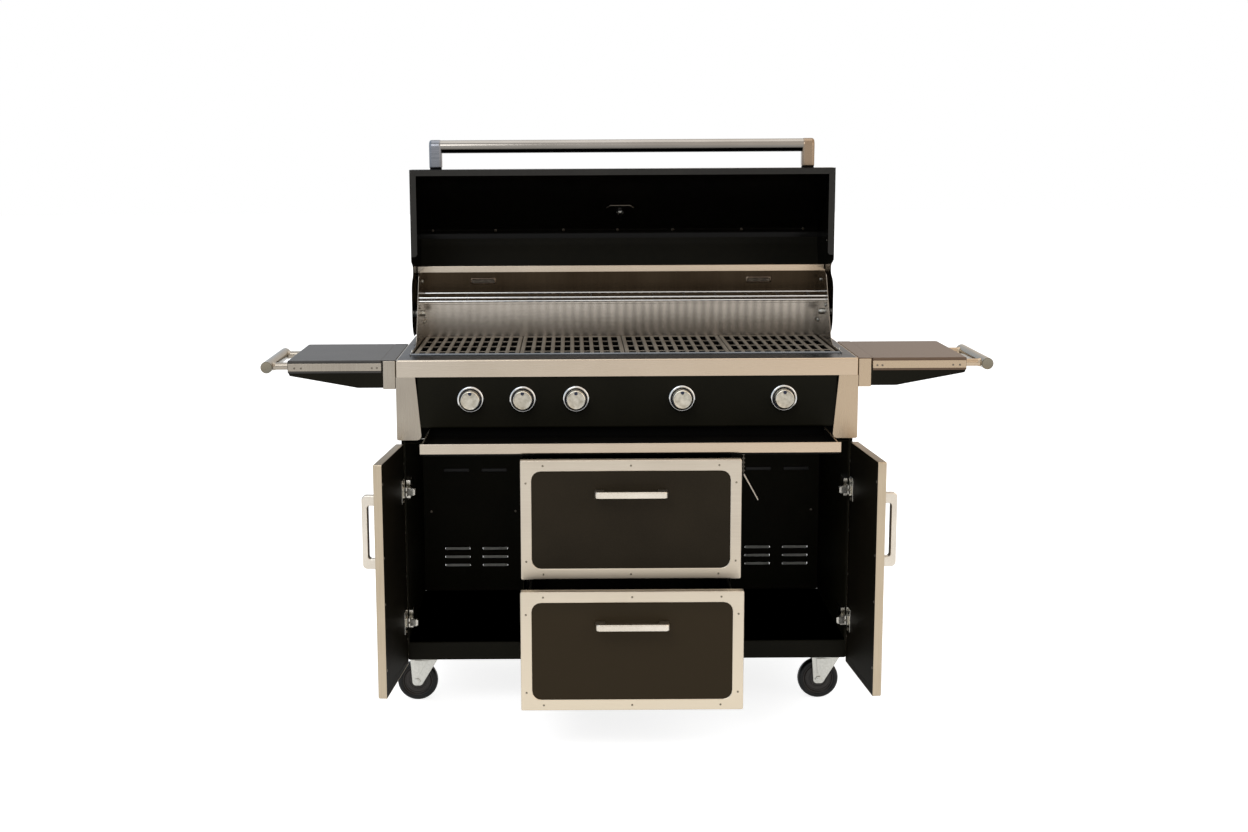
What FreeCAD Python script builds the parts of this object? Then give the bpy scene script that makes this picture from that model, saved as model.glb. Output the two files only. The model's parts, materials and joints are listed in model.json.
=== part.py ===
"""Gas barbecue grill on a cabinet cart: five burners, a roll-top hood, two doors, two drawers,
a full-width grease tray, two side shelves and four swivel casters.

Millimetres, +X to the cook's right, +Y away from the cook, +Z up.  The origin is on the ground
under the middle of the whole grill.  The grill stands as a cook shows it off: hood up, doors open,
drawers and grease tray pulled out.
"""
import FreeCAD, Part
import Sketcher
import math
import os

from FreeCAD import Placement, Rotation, Vector

# ------------------------------------------------------------------------------------------------
# Driving dimensions.  "y" places are measured back from the front face of the worktop.
# ------------------------------------------------------------------------------------------------
SIZES = [
    # sheet metal and clearances
    ("sheet", 1.2, "thickness of every folded steel sheet"),
    ("gap", 2.0, "clearance between a moving front and what it closes against"),
    ("run", 0.05, "radial clearance of a pin turning in its hole"),
    # worktop
    ("worktop_width", 1100.0, "across the worktop, without the side shelves"),
    ("worktop_depth", 534.0, "front face to back edge of the worktop"),
    ("worktop_height", 860.0, "ground to worktop surface"),
    ("worktop_skirt", 41.0, "height of the worktop's folded front face"),
    ("side_ledge", 26.0, "worktop left of and right of the cooking opening"),
    ("front_ledge", 85.0, "worktop in front of the cooking opening"),
    ("rear_ledge", 4.0, "worktop behind the cooking opening"),
    ("upstand", 3.0, "raised rim around the cooking opening"),
    # cabinet
    ("cabinet_inset", 15.0, "cabinet sides in from the worktop's ends"),
    ("cabinet_front", 12.0, "y of the cabinet's front edges"),
    ("cabinet_back", 14.0, "cabinet back in from the worktop's back edge"),
    ("base_height", 44.0, "height of the base pan"),
    ("base_flange", 70.0, "bottom flanges of the base that carry the casters"),
    ("divider_clear", 2.0, "drawer front past the bay divider"),
    ("rail_height", 26.0, "front and rear top rails of the cabinet"),
    ("post_drop", 193.0, "worktop surface down to the foot of the corner posts"),
    ("post_top_width", 46.0, "corner post width under the worktop"),
    ("post_foot_width", 60.0, "corner post width at its foot"),
    ("post_depth", 40.0, "corner post front to back"),
    ("vent_width", 68.0, "one vent slot in the back panel"),
    ("vent_height", 8.0, "height of a vent slot"),
    ("vent_pitch", 23.0, "vent slot spacing, up"),
    ("vent_column", 51.0, "half the spacing of the two vent columns of a bay"),
    ("vent_shift", 28.0, "right bay's vent columns outward from the middle of the bay"),
    ("vent_drop", 399.0, "top of the doors down to the middle vent slot"),
    # control panel
    ("panel_drop", 165.0, "worktop surface down to the control panel's lower edge"),
    ("panel_set", 4.0, "y of the control panel's front face"),
    ("knob_drop", 95.0, "worktop surface down to knob centres"),
    ("stem_radius", 4.0, "valve stem"),
    ("bezel_radius", 33.0, "knob bezel"),
    ("bezel_depth", 9.0, "knob bezel stand-out"),
    ("knob_radius", 24.0, "knob cap"),
    ("knob_length", 30.0, "knob, front to back"),
    # doors and fronts
    ("fronts_lap", 9.0, "doors and drawers reach this far below the base pan"),
    ("fronts_drop", 194.0, "worktop surface down to the top of the upper drawer"),
    ("doors_drop", 203.0, "worktop surface down to the top of the doors"),
    ("front_thick", 20.0, "door and drawer front thickness"),
    ("door_gap", 5.0, "between a closed door and the drawer fronts"),
    ("left_door_angle", 95.0, "how far the left door stands open"),
    ("right_door_angle", 94.0, "how far the right door stands open"),
    ("edge_turn", 9.0, "stainless skin folded round the door's edges"),
    ("door_pull_drop", 165.0, "top of a door down to the middle of its handle"),
    ("door_pull_length", 172.0, "door handle, end to end"),
    ("door_pull_inset", 52.0, "door handle in from the free edge"),
    ("pull_bar", 15.0, "square section of the door and drawer handles"),
    ("pull_reach", 37.0, "door and drawer handles, stand-out"),
    ("drawer_width", 498.0, "one drawer front"),
    ("drawer_gap", 7.0, "between the two drawer fronts"),
    ("frame_border", 25.0, "stainless frame round a drawer front"),
    ("frame_corner", 21.0, "inner corner radius of the drawer frame"),
    ("upper_out", 265.0, "how far the upper drawer is pulled out"),
    ("lower_out", 350.0, "how far the lower drawer is pulled out"),
    ("slide_space", 19.0, "between drawer box and bay divider"),
    ("box_short", 68.0, "drawer box shorter than the cabinet is deep"),
    ("box_lift", 63.0, "bottom of a drawer front up to its box"),
    ("box_low", 23.0, "top of a drawer box below the top of its front"),
    ("slide_height", 38.0, "telescopic drawer slide"),
    ("drawer_pull_length", 164.0, "drawer handle, end to end"),
    ("drawer_pull_drop", 81.0, "drawer handle centre below the front's top edge"),
    # grease tray
    ("tray_drop", 190.0, "worktop surface down to the underside of the grease tray"),
    ("tray_height", 23.0, "height of the tray's front strip"),
    ("tray_side", 75.0, "grease tray in from each end of the worktop"),
    ("tray_short", 58.0, "grease tray shorter than the cabinet is deep"),
    ("tray_out", 230.0, "how far the grease tray is pulled out"),
    ("rail_width", 7.0, "angle rails that carry the tray"),
    # firebox
    ("side_rise", 185.0, "worktop surface up to the top of the sides and rear wall"),
    ("side_reach", 168.0, "hood pivot forward to the front of the raised side"),
    ("side_back_lean", 118.0, "how far the raised side's front edge leans back"),
    ("firebox_drop", 148.0, "worktop surface down to the drip slot"),
    ("firebox_slope", 55.0, "drip slot up to where the walls turn upright"),
    ("drip_slot", 80.0, "front to back width of the drip slot"),
    ("liner_rise", 91.0, "worktop surface up to the top of the stainless liner"),
    ("trim_height", 17.0, "stainless strip along the top of the rear wall"),
    ("grate_thick", 12.0, "cooking grate"),
    ("grate_drop", 2.0, "worktop surface down to the cooking surface"),
    ("grate_gap", 4.0, "between grates"),
    ("grate_bar", 11.0, "width of a grate bar"),
    ("grate_slot", 12.0, "width of a grate slot"),
    ("burner_radius", 19.0, "burner tube"),
    ("burner_drop", 65.0, "worktop surface down to burner centre lines"),
    ("tamer_drop", 45.0, "worktop surface down to the flame tamers' lower edges"),
    ("tamer_half", 38.0, "half the width of a flame tamer"),
    ("tamer_rise", 26.0, "height of a flame tamer's ridge"),
    ("manifold_radius", 10.0, "gas manifold pipe"),
    ("manifold_set", 50.0, "y of the gas manifold"),
    ("feed_radius", 7.0, "feed pipe from the manifold to the back of the cart"),
    ("feed_drop", 24.0, "drip slot down to the feed pipe"),
    ("inlet_radius", 8.0, "gas inlet spigot"),
    ("inlet_length", 22.0, "gas inlet spigot"),
    ("inlet_nut", 12.0, "radius of the nuts that hold the inlet in the back panel"),
    ("rack_rise", 120.0, "worktop surface up to the warming rack's rear wire"),
    ("rack_dip", 4.0, "warming rack's rear wire down to its upper front wire"),
    ("rack_lip", 9.0, "between the warming rack's two front wires"),
    ("rack_depth", 96.0, "warming rack, front to back"),
    ("wire", 2.5, "radius of the warming rack's wires"),
    # hood, measured closed
    ("pivot_from_back", 104.0, "worktop's back edge forward to the hood pivot"),
    ("pivot_rise", 70.0, "worktop surface up to the hood pivot"),
    ("pivot_radius", 5.0, "hood pivot bolt"),
    ("hood_inset", 9.0, "hood in from each end of the worktop"),
    ("hood_front", 60.0, "y of the closed hood's front face"),
    ("hood_clear", 12.0, "closed hood's rim above the worktop"),
    ("hood_band", 93.0, "height of the hood's upright front band"),
    ("hood_rise", 318.0, "worktop surface up to the top of the closed hood"),
    ("hood_brow", 228.0, "y where the hood's slope meets its top"),
    ("hood_crown", 262.0, "y where the hood's top meets its rear slope"),
    ("hood_overhang", 14.0, "closed hood's rear edge behind the worktop"),
    ("hood_rear_rise", 202.0, "worktop surface up to the closed hood's rear edge"),
    ("lobe_clear", 10.0, "end cap's lobe above the worktop"),
    ("lobe_half", 58.0, "hood pivot to rear edge of the end cap's lobe"),
    ("rim_width", 16.0, "flange folded in along the hood's mouth"),
    ("tube_radius", 15.5, "hood handle tube"),
    ("tube_wall", 1.5, "wall of the handle tubes"),
    ("tube_standoff", 60.0, "hood front to handle tube centre"),
    ("tube_rise", 78.0, "worktop surface up to handle tube centre, hood closed"),
    ("tube_margin", 46.0, "handle post in from the end of the hood"),
    ("gauge_radius", 38.0, "thermometer dial"),
    # side shelves
    ("shelf_length", 250.0, "one side shelf, left to right"),
    ("shelf_depth", 350.0, "side shelf, front to back"),
    ("shelf_edge", 7.0, "black edge of the shelf above the trim strip"),
    ("trim_strip", 18.0, "stainless strip on the shelf's front"),
    ("bracket_depth", 66.0, "side shelf bracket at the cart"),
    ("bracket_end", 36.0, "side shelf bracket at its outer end"),
    ("block_width", 24.0, "stainless block between bracket and worktop"),
    ("towel_radius", 14.0, "side handle tube"),
    ("towel_reach", 58.0, "shelf end to side handle centre"),
    ("towel_length", 290.0, "side handle tube"),
    ("towel_drop", 17.0, "side handle centre below the shelf surface"),
    ("shelf_fold", 30.0, "depth of the side shelf's folded edges"),
    ("trim_inset", 12.0, "trim strip in from the shelf's outer end"),
    # hinges
    ("hinge_inset", 112.0, "door's top and bottom edges to its hinges"),
    ("hinge_cup", 17.5, "radius of a hinge cup"),
    ("cup_inset", 23.0, "door edge to hinge cup centre"),
    # casters
    ("wheel_radius", 50.0, "caster wheel"),
    ("wheel_width", 27.0, "caster wheel"),
    ("axle_radius", 5.0, "caster axle"),
    ("caster_inset", 37.0, "cabinet side in to each caster's swivel axis"),
    ("caster_front", 78.0, "y of the front casters' swivel axes"),
    ("caster_from_back", 64.0, "cabinet back forward to the rear swivel axes"),
    ("caster_trail", 21.0, "swivel axis to wheel axle"),
    ("caster_plate", 3.0, "thickness of a caster's top plate"),
    ("caster_head", 9.0, "thickness of a caster's swivel head"),
    ("head_gap", 4.0, "between top plate and swivel head"),
    ("wheel_clear", 4.0, "between wheel and swivel head"),
    ("king_radius", 6.0, "king pin of a caster"),
]


class Size:
    """A length that is known both as a number and as an expression on the sheet."""

    def __init__(self, value, text):
        self.value, self.text = float(value), text

    def __add__(self, other):
        other = size(other)
        return Size(self.value + other.value, f"({self.text} + {other.text})")

    def __sub__(self, other):
        other = size(other)
        return Size(self.value - other.value, f"({self.text} - {other.text})")

    def __mul__(self, factor):
        factor = size(factor)
        return Size(self.value * factor.value, f"({self.text} * {factor.text})")

    def __truediv__(self, factor):
        factor = size(factor)
        return Size(self.value / factor.value, f"({self.text} / {factor.text})")

    def __neg__(self):
        return Size(-self.value, f"(0 - {self.text})")

    __radd__ = __add__
    __rmul__ = __mul__

    def __rsub__(self, other):
        return size(other) - self


def size(number):
    """Return number as a Size."""
    return number if isinstance(number, Size) else Size(number, f"{float(number):.6g}")


doc = FreeCAD.newDocument("gas_grill")
sheet = doc.addObject("Spreadsheet::Sheet", "dims")
for row, (alias, number, meaning) in enumerate(SIZES, 1):
    sheet.set(f"A{row}", alias)
    sheet.set(f"B{row}", str(number))
    sheet.setAlias(f"B{row}", alias)
    sheet.set(f"C{row}", meaning)
doc.recompute()


class Dims:
    """The sheet's cells as Size attributes."""

    def __init__(self):
        for alias, number, _ in SIZES:
            setattr(self, alias, Size(number, f"dims.{alias}"))


d = Dims()

# Sizes that follow from the driving ones
d.cabinet_width = d.worktop_width - d.cabinet_inset * 2
d.cabinet_depth = d.worktop_depth - d.cabinet_front - d.cabinet_back
d.base_bottom = d.wheel_radius * 2 + d.wheel_clear + d.caster_head + d.head_gap + d.caster_plate
d.fronts_bottom = d.base_bottom - d.fronts_lap
d.fronts_top = d.worktop_height - d.fronts_drop
d.doors_top = d.worktop_height - d.doors_drop
d.post_bottom = d.worktop_height - d.post_drop
d.panel_bottom = d.worktop_height - d.panel_drop
d.knob_level = d.worktop_height - d.knob_drop
d.tray_bottom = d.worktop_height - d.tray_drop
d.vent_level = d.doors_top - d.vent_drop
d.door_pull_level = d.doors_top - d.door_pull_drop
d.door_width = (d.cabinet_width - d.drawer_width) / 2 - d.door_gap
d.divider_half = d.drawer_width / 2 + d.divider_clear
d.box_width = (d.divider_half - d.slide_space) * 2
d.box_depth = d.cabinet_depth - d.box_short
d.tray_depth = d.cabinet_depth - d.tray_short
d.drawer_high = (d.fronts_top - d.fronts_bottom - d.drawer_gap) / 2
d.box_height = d.drawer_high - d.box_lift - d.box_low
d.firebox_floor = d.worktop_height - d.firebox_drop
d.burner_level = d.worktop_height - d.burner_drop
d.tamer_level = d.worktop_height - d.tamer_drop
d.grate_top = d.worktop_height - d.grate_drop
d.liner_top = d.worktop_height + d.liner_rise
d.side_top = d.worktop_height + d.side_rise
d.rack_level = d.worktop_height + d.rack_rise
d.pivot_back = d.worktop_depth - d.pivot_from_back
d.pivot_height = d.worktop_height + d.pivot_rise
d.side_front = d.pivot_back - d.side_reach
d.hood_top = d.worktop_height + d.hood_rise
d.hood_rear = d.worktop_depth + d.hood_overhang
d.hood_rear_height = d.worktop_height + d.hood_rear_rise
d.tube_level = d.worktop_height + d.tube_rise
d.lobe_drop = d.pivot_rise - d.lobe_clear
d.caster_side = d.cabinet_width / 2 - d.caster_inset
d.caster_back = d.cabinet_front + d.cabinet_depth - d.caster_from_back


# ------------------------------------------------------------------------------------------------
# Small builders.  Every length they take may be a Size, and is then bound to the sheet.
# ------------------------------------------------------------------------------------------------
def bind(obj, prop, length):
    """Set one property of obj, as an expression where the length comes from the sheet."""
    length = size(length)
    if "dims." in length.text:
        obj.setExpression(prop, length.text)
    elif prop.startswith("Placement.Base."):
        spot = obj.Placement.Base
        setattr(spot, prop[-1], length.value)
        obj.Placement = Placement(spot, obj.Placement.Rotation)
    else:
        setattr(obj, prop, length.value)


def put(obj, x=0, y=0, z=0, turn=None):
    """Place obj at (x, y, z), turned by turn = (axis, degrees)."""
    if turn:
        axis, degrees = turn
        degrees = size(degrees)
        obj.Placement = Placement(Vector(0, 0, 0), Rotation(Vector(*axis), degrees.value))
        if "dims." in degrees.text:
            obj.setExpression("Placement.Rotation.Angle", degrees.text)
    for letter, length in zip("xyz", (x, y, z)):
        bind(obj, f"Placement.Base.{letter}", length)
    return obj


def box(x, y, z):
    """A block; x, y and z are (low, high) pairs."""
    block = doc.addObject("Part::Box", "Block")
    for prop, (low, high) in zip(("Length", "Width", "Height"), (x, y, z)):
        bind(block, prop, size(high) - low)
    return put(block, x[0], y[0], z[0])


TURNS = {"x": ((0, 1, 0), 90), "y": ((1, 0, 0), -90), "z": None}


def rod(axis, at, span, radius):
    """A cylinder along axis; at holds the two other coordinates, span its low and high ends."""
    bar = doc.addObject("Part::Cylinder", "Rod")
    bind(bar, "Radius", radius)
    bind(bar, "Height", size(span[1]) - span[0])
    spot = {"x": (span[0], *at), "y": (at[0], span[0], at[1]), "z": (*at, span[0])}[axis]
    return put(bar, *spot, turn=TURNS[axis])


def fuse(*parts):
    """One solid from touching parts."""
    if len(parts) == 1:
        return parts[0]
    joined = doc.addObject("Part::MultiFuse", "Joined")
    joined.Shapes = list(parts)
    joined.Refine = True
    return joined


def group(*parts):
    """Separate solids held in one node."""
    held = doc.addObject("Part::Compound", "Group")
    held.Links = list(parts)
    return held


def cut(base, *tools):
    """Base with every tool taken away."""
    cutter = tools[0] if len(tools) == 1 else group(*tools)
    result = doc.addObject("Part::Cut", "Cut")
    result.Base, result.Tool = base, cutter
    return result


def turned(part, x, y, z, turn):
    """part as one item that is moved and turned as a whole."""
    held = group(part)
    return put(held, x, y, z, turn)


def hollow(axis, at, span, outer, inner):
    """A tube."""
    return cut(rod(axis, at, span, outer), rod(axis, at, span, inner))


PLANES = {"z": "XY_Plane", "y": "XZ_Plane", "x": "YZ_Plane"}


def sketch_in(body, plane, corners):
    """A closed outline on one of the body's own planes.

    corners holds (a, b) or (a, b, radius).  Every corner's place and radius is a constraint bound
    to the sheet; a rounded corner keeps its sharp corner as a construction point.
    """
    outline = body.newObject("Sketcher::SketchObject", "Outline")
    plane_obj = [f for f in body.Origin.OriginFeatures if f.Role == plane][0]
    outline.AttachmentSupport = [(plane_obj, "")]
    outline.MapMode = "FlatFace"
    spots = [Vector(size(c[0]).value, size(c[1]).value, 0) for c in corners]
    radii = [size(c[2]) if len(c) > 2 else None for c in corners]
    count = len(corners)
    # where each corner's two straight edges stop short of it
    before, after, arcs = [], [], []
    for i, spot in enumerate(spots):
        if radii[i] is None:
            before.append(spot), after.append(spot), arcs.append(None)
            continue
        back = (spots[i - 1] - spot).normalize()
        ahead = (spots[(i + 1) % count] - spot).normalize()
        half = back.getAngle(ahead) / 2
        reach = radii[i].value / math.tan(half)
        middle = spot + (back + ahead).normalize() * (radii[i].value / math.sin(half))
        ends = [spot + back * reach, spot + ahead * reach]
        before.append(ends[0]), after.append(ends[1])
        if back.cross(ahead).z > 0:           # the outline turns right here
            ends.reverse()
        low, high = [math.atan2(p.y - middle.y, p.x - middle.x) for p in ends]
        if high < low:
            high += 2 * math.pi
        arcs.append(Part.ArcOfCircle(Part.Circle(middle, Vector(0, 0, 1), radii[i].value), low, high))
    lines = [outline.addGeometry(Part.LineSegment(after[i], before[(i + 1) % count]), False)
             for i in range(count)]

    def pin(geo, pos, corner):
        for kind, length in zip(("DistanceX", "DistanceY"), corner[:2]):
            length = size(length)
            index = outline.addConstraint(
                Sketcher.Constraint(kind, -1, 1, geo, pos, length.value))
            if "dims." in length.text:
                outline.setExpression(f"Constraints[{index}]", length.text)

    for i in range(count):
        if arcs[i] is None:
            outline.addConstraint(Sketcher.Constraint("Coincident", lines[i - 1], 2, lines[i], 1))
            pin(lines[i], 1, corners[i])
            continue
        arc = outline.addGeometry(arcs[i], False)
        mark = outline.addGeometry(Part.Point(spots[i]), True)
        pin(mark, 1, corners[i])
        outline.addConstraint(Sketcher.Constraint("PointOnObject", mark, 1, lines[i - 1]))
        outline.addConstraint(Sketcher.Constraint("PointOnObject", mark, 1, lines[i]))
        first_at = outline.Geometry[arc].StartPoint
        starts = first_at.distanceToPoint(before[i]) < 1e-6
        for line, end, arc_end in ((lines[i - 1], 2, 1 if starts else 2),
                                   (lines[i], 1, 2 if starts else 1)):
            outline.addConstraint(Sketcher.Constraint("Tangent", line, end, arc, arc_end))
        index = outline.addConstraint(Sketcher.Constraint("Radius", arc, radii[i].value))
        if "dims." in radii[i].text:
            outline.setExpression(f"Constraints[{index}]", radii[i].text)
    return outline


def prism(axis, corners, span):
    """A plate or bar of any outline, run along axis from span[0] to span[1].

    The outline's coordinates are (y, z) along x, (x, z) along y, and (x, y) along z.
    """
    body = doc.addObject("PartDesign::Body", "Plate")
    outline = sketch_in(body, PLANES[axis], corners)
    pad = body.newObject("PartDesign::Pad", "Pad")
    pad.Profile = outline
    bind(pad, "Length", size(span[1]) - span[0])
    start = span[1] if axis == "y" else span[0]
    return put(body, **{axis: start})


def turning(axis_at, corners, span_start=0):
    """A turned piece about the Y axis; corners are (radius, y); axis_at is its (x, z)."""
    body = doc.addObject("PartDesign::Body", "Turned")
    outline = sketch_in(body, "XY_Plane", corners)
    spin = body.newObject("PartDesign::Revolution", "Spin")
    spin.Profile = outline
    spin.ReferenceAxis = (outline, ["V_Axis"])
    spin.Angle = 360
    return put(body, axis_at[0], span_start, axis_at[1])


def span(side, low, high):
    """The (low, high) pair on the right (+1) or mirrored to the left (-1)."""
    return (low, high) if side > 0 else (-size(high), -size(low))


NODES = []


def node(name, obj):
    """Name a finished piece."""
    obj.Label = name
    NODES.append((name, obj))
    return obj


# ------------------------------------------------------------------------------------------------
# Derived places
# ------------------------------------------------------------------------------------------------
hood_reach = d.pivot_back + d.hood_top - d.pivot_height       # rearmost y, with the hood up
front_face = -(d.front_thick / 2)                             # y of the closed fronts' faces
drawer_nose = d.lower_out + d.front_thick / 2 + d.pull_reach  # frontmost reach, lower drawer's pull
face = (drawer_nose - hood_reach) / 2                         # y of the worktop's front face


def at(y):
    """y measured from the worktop's front face, in the grill's own frame."""
    return face + y


half_top = d.worktop_width / 2
half_fire = half_top - d.side_ledge                 # inner face of the raised rim at the sides
half_cab = d.cabinet_width / 2
cab_front, cab_back = at(d.cabinet_front), at(d.cabinet_front + d.cabinet_depth)
base_top = d.base_bottom + d.base_height
skirt_bottom = d.worktop_height - d.worktop_skirt
fire_front, fire_back = at(d.front_ledge), at(d.worktop_depth - d.rear_ledge)
s = d.sheet
inlet_x, feed_z = 40 - half_cab, d.firebox_floor - d.feed_drop      # gas feed pipe

# ------------------------------------------------------------------------------------------------
# Cart
# ------------------------------------------------------------------------------------------------
# Base pan: a top sheet with its edges folded down, and two flanges folded in for the casters.
pan = cut(box((-half_cab, half_cab), (cab_front, cab_back), (d.base_bottom, base_top)),
          box((-half_cab + s, half_cab - s), (cab_front + s, cab_back - s),
              (d.base_bottom - 1, base_top - s)))
flanges = []
for side in (-1, 1):
    for row in (d.caster_front, d.caster_back):
        flanges.append(box(span(side, half_cab - s - d.base_flange, half_cab - s),
                           (at(row) - 45, at(row) + 45), (d.base_bottom, d.base_bottom + s * 2)))
node("base_shelf", fuse(pan, *flanges))

# Cabinet frame: side sheets, drawer bay dividers, top rails.
rail_z = (d.post_bottom - d.rail_height + 10, d.post_bottom + 10)
frame_parts = []
for side in (-1, 1):
    frame_parts.append(box(span(side, half_cab - s, half_cab), (cab_front, cab_back),
                           (base_top, skirt_bottom - s)))
    frame_parts.append(box(span(side, d.divider_half, d.divider_half + s),
                           (cab_front, cab_back - s), (base_top, d.tray_bottom - 12)))
frame_parts.append(box((-half_cab + s, half_cab - s), (cab_front, cab_front + 26),
                       (d.tray_bottom - 12, d.tray_bottom - 12 + s)))
node("cabinet_frame", group(*frame_parts))

# Back panel, with three rows of vent slots in two columns behind each door, and the gas inlet's hole.
slots = []
bay_middle = (half_cab + d.divider_half) / 2
for side in (-1, 1):
    for column in (-1, 1):
        for row in (-1, 0, 1):
            middle = bay_middle * side + d.vent_shift * max(side, 0) + d.vent_column * column
            level = d.vent_level + d.vent_pitch * row
            slots.append(box((middle - d.vent_width / 2, middle + d.vent_width / 2),
                             (cab_back - s - 1, cab_back + 1),
                             (level - d.vent_height / 2, level + d.vent_height / 2)))
slots.append(rod("y", (inlet_x, feed_z), (cab_back - s - 1, cab_back + 1), d.feed_radius + 2))
node("back_panel", cut(box((-half_cab + s, half_cab - s), (cab_back - s, cab_back),
                           (base_top, d.firebox_floor - 6)), *slots))

# Corner posts: folded wings beside the control panel, wider at the foot.
posts = []
for side in (-1, 1):
    top_in, foot_in = half_top - d.post_top_width, half_top - d.post_foot_width
    corners = [(half_top * side, d.post_bottom), (half_top * side, skirt_bottom),
               (top_in * side, skirt_bottom), (foot_in * side, d.post_bottom)]
    wing = prism("y", corners if side < 0 else corners[::-1], (at(0), at(s)))
    cheek = box(span(side, half_top - s, half_top), (at(s), at(d.post_depth)),
                (d.post_bottom, skirt_bottom))
    posts.append(fuse(wing, cheek))
node("corner_posts", group(*posts))

# Worktop: top sheet with a deep folded front, shallow sides and a raised rim round the opening.
top = box((-half_top, half_top), (at(0), at(d.worktop_depth)), (skirt_bottom, d.worktop_height))
under = box((-half_top + s, half_top - s), (at(s), at(d.worktop_depth) - s),
            (skirt_bottom - 1, d.worktop_height - s))
rim = box((-half_fire - s, half_fire + s), (fire_front - s, fire_back + s),
          (d.worktop_height - s, d.worktop_height + d.upstand))
opening = box((-half_fire, half_fire), (fire_front, fire_back),
              (d.worktop_height - s * 3, d.worktop_height + d.upstand + 1))
node("worktop", cut(fuse(cut(top, under), rim), opening))

# Control panel, between the posts, with a clearance hole for each valve stem.
knob_places = [-0.339, -0.226, -0.1106, 0.1186, 0.339]      # shares of the worktop's width
knobs_x = [d.worktop_width * share for share in knob_places]
panel_top_in = half_top - d.post_top_width - 1
panel_foot_in = half_top - d.post_foot_width - 1 + 10
panel = prism("y", [(-panel_foot_in, d.panel_bottom), (panel_foot_in, d.panel_bottom),
                    (panel_top_in, skirt_bottom - 1), (-panel_top_in, skirt_bottom - 1)][::-1],
              (at(d.panel_set), at(d.panel_set + s)))
node("control_panel", cut(panel, *[rod("y", (x, d.knob_level), (at(d.panel_set) - 2,
     at(d.panel_set + s) + 2), d.stem_radius + 3) for x in knobs_x]))

# ------------------------------------------------------------------------------------------------
# Firebox and what cooks
# ------------------------------------------------------------------------------------------------
half_side = half_fire - 1 - s                       # inner face of the firebox sides
wall_y = fire_front + 1                             # front of the firebox
rear_y = fire_back - 1                              # back of the rear wall
mid_y = (wall_y + rear_y) / 2
knee = d.firebox_floor + d.firebox_slope             # where the upright walls turn in to the drip slot
lean_y = at(d.side_front) + d.side_back_lean
pivot_y, pivot_z = at(d.pivot_back), d.pivot_height

# Sides: plates inside the worktop's rim, rising beside the hood pivots.
sides = []
side_back = rear_y - s * 2
for side in (-1, 1):
    plate = prism("x", [(wall_y, knee), (mid_y - d.drip_slot / 2, d.firebox_floor),
                        (mid_y + d.drip_slot / 2, d.firebox_floor), (side_back, knee),
                        (side_back, d.side_top - 4, 10), (lean_y, d.side_top - 4, 40),
                        (at(d.side_front), d.grate_top + 6, 60), (wall_y, d.grate_top + 6)],
                  span(side, half_side, half_side + s))
    sides.append(cut(plate, rod("x", (pivot_y, pivot_z), span(side, half_side - 5, half_side + 9),
                                d.pivot_radius)))
node("firebox_sides", group(*sides))

# Front wall and front slope, one bent sheet; air slots let the burner necks through.
burners_x = [(half_side * 2 / 5) * (i - 2) for i in range(5)]
grate_under = d.grate_top - d.grate_thick
front_sheet = prism("x", [(wall_y, grate_under), (wall_y, knee),
                          (mid_y - d.drip_slot / 2, d.firebox_floor),
                          (mid_y - d.drip_slot / 2, d.firebox_floor + s),
                          (wall_y + s, knee + s), (wall_y + s, grate_under)][::-1],
                    (-half_side, half_side))
air_slot = box((-half_side + 40, half_side - 40), (wall_y - 1, wall_y + s + 1),
               (d.burner_level + 6, d.burner_level + 24))
node("firebox_pan", cut(front_sheet, air_slot))

# Rear wall and rear slope, with two louvre slots near the top.
rear_sheet = prism("x", [(rear_y, d.side_top), (rear_y - s, d.side_top), (rear_y - s, knee + s),
                         (mid_y + d.drip_slot / 2, d.firebox_floor + s),
                         (mid_y + d.drip_slot / 2, d.firebox_floor), (rear_y, knee)],
                   (-half_side, half_side))
half_wall = half_top - d.hood_inset - s - 2.5       # rear wall, just inside the hood's end caps
ears = [box(span(side, half_side, half_wall), (rear_y - s, rear_y),
            (d.worktop_height + d.upstand + 3, d.side_top)) for side in (-1, 1)]
louvres = [box(((half_side * 0.7) * side - 30, (half_side * 0.7) * side + 30),
               (rear_y - s - 1, rear_y + 1), (d.side_top - 44, d.side_top - 34))
           for side in (-1, 1)]
node("rear_wall", cut(fuse(rear_sheet, *ears), *louvres))

# Stainless rear liner with a ledge for the grates, and the strip over the rear wall's top edge.
liner_front = rear_y - s * 2
ledge = 14
liner = fuse(box((-half_side, half_side), (liner_front, rear_y - s), (grate_under - s, d.liner_top)),
             box((-half_side, half_side), (liner_front - ledge, liner_front),
                 (grate_under - s, grate_under)))
strip = cut(box((-half_wall, half_wall), (liner_front, rear_y + s),
                (d.side_top - d.trim_height, d.side_top + s)),
            box((-half_wall - 1, half_wall + 1), (rear_y - s, rear_y),
                (d.side_top - d.trim_height - 1, d.side_top)))
node("rear_trims", group(liner, strip))

# Burners: a capped tube along each fifth of the firebox, its flat neck lying in the air slot.
manifold_y = at(d.manifold_set)
slot_low = d.burner_level + 6
tubes = []
for x in burners_x:
    y0, y1 = wall_y + s + 30, liner_front - ledge - 20
    tube = cut(rod("y", (x, d.burner_level), (y0, y1), d.burner_radius),
               rod("y", (x, d.burner_level), (y0 + 2, y1 - 2), d.burner_radius - s))
    neck = box((x - 9, x + 9), (wall_y - 20, y0 + 1), (slot_low, slot_low + 9))
    tab = box((x - 9, x + 9), (y1 - 1, rear_y - s), (d.burner_level - 2, d.burner_level + 2))
    tubes.append(fuse(tube, neck, tab))
node("burners", group(*tubes))

# Flame tamers: a folded ridge over each burner.
tamers = []
for x in burners_x:
    low, high, half = d.tamer_level, d.tamer_level + d.tamer_rise, d.tamer_half
    tamers.append(prism("y", [(x - half, low), (x, high), (x + half, low), (x + half - 4, low),
                              (x, high - 3), (x - half + 4, low)], (wall_y + s, rear_y - s)))
node("flame_tamers", group(*tamers))

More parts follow.
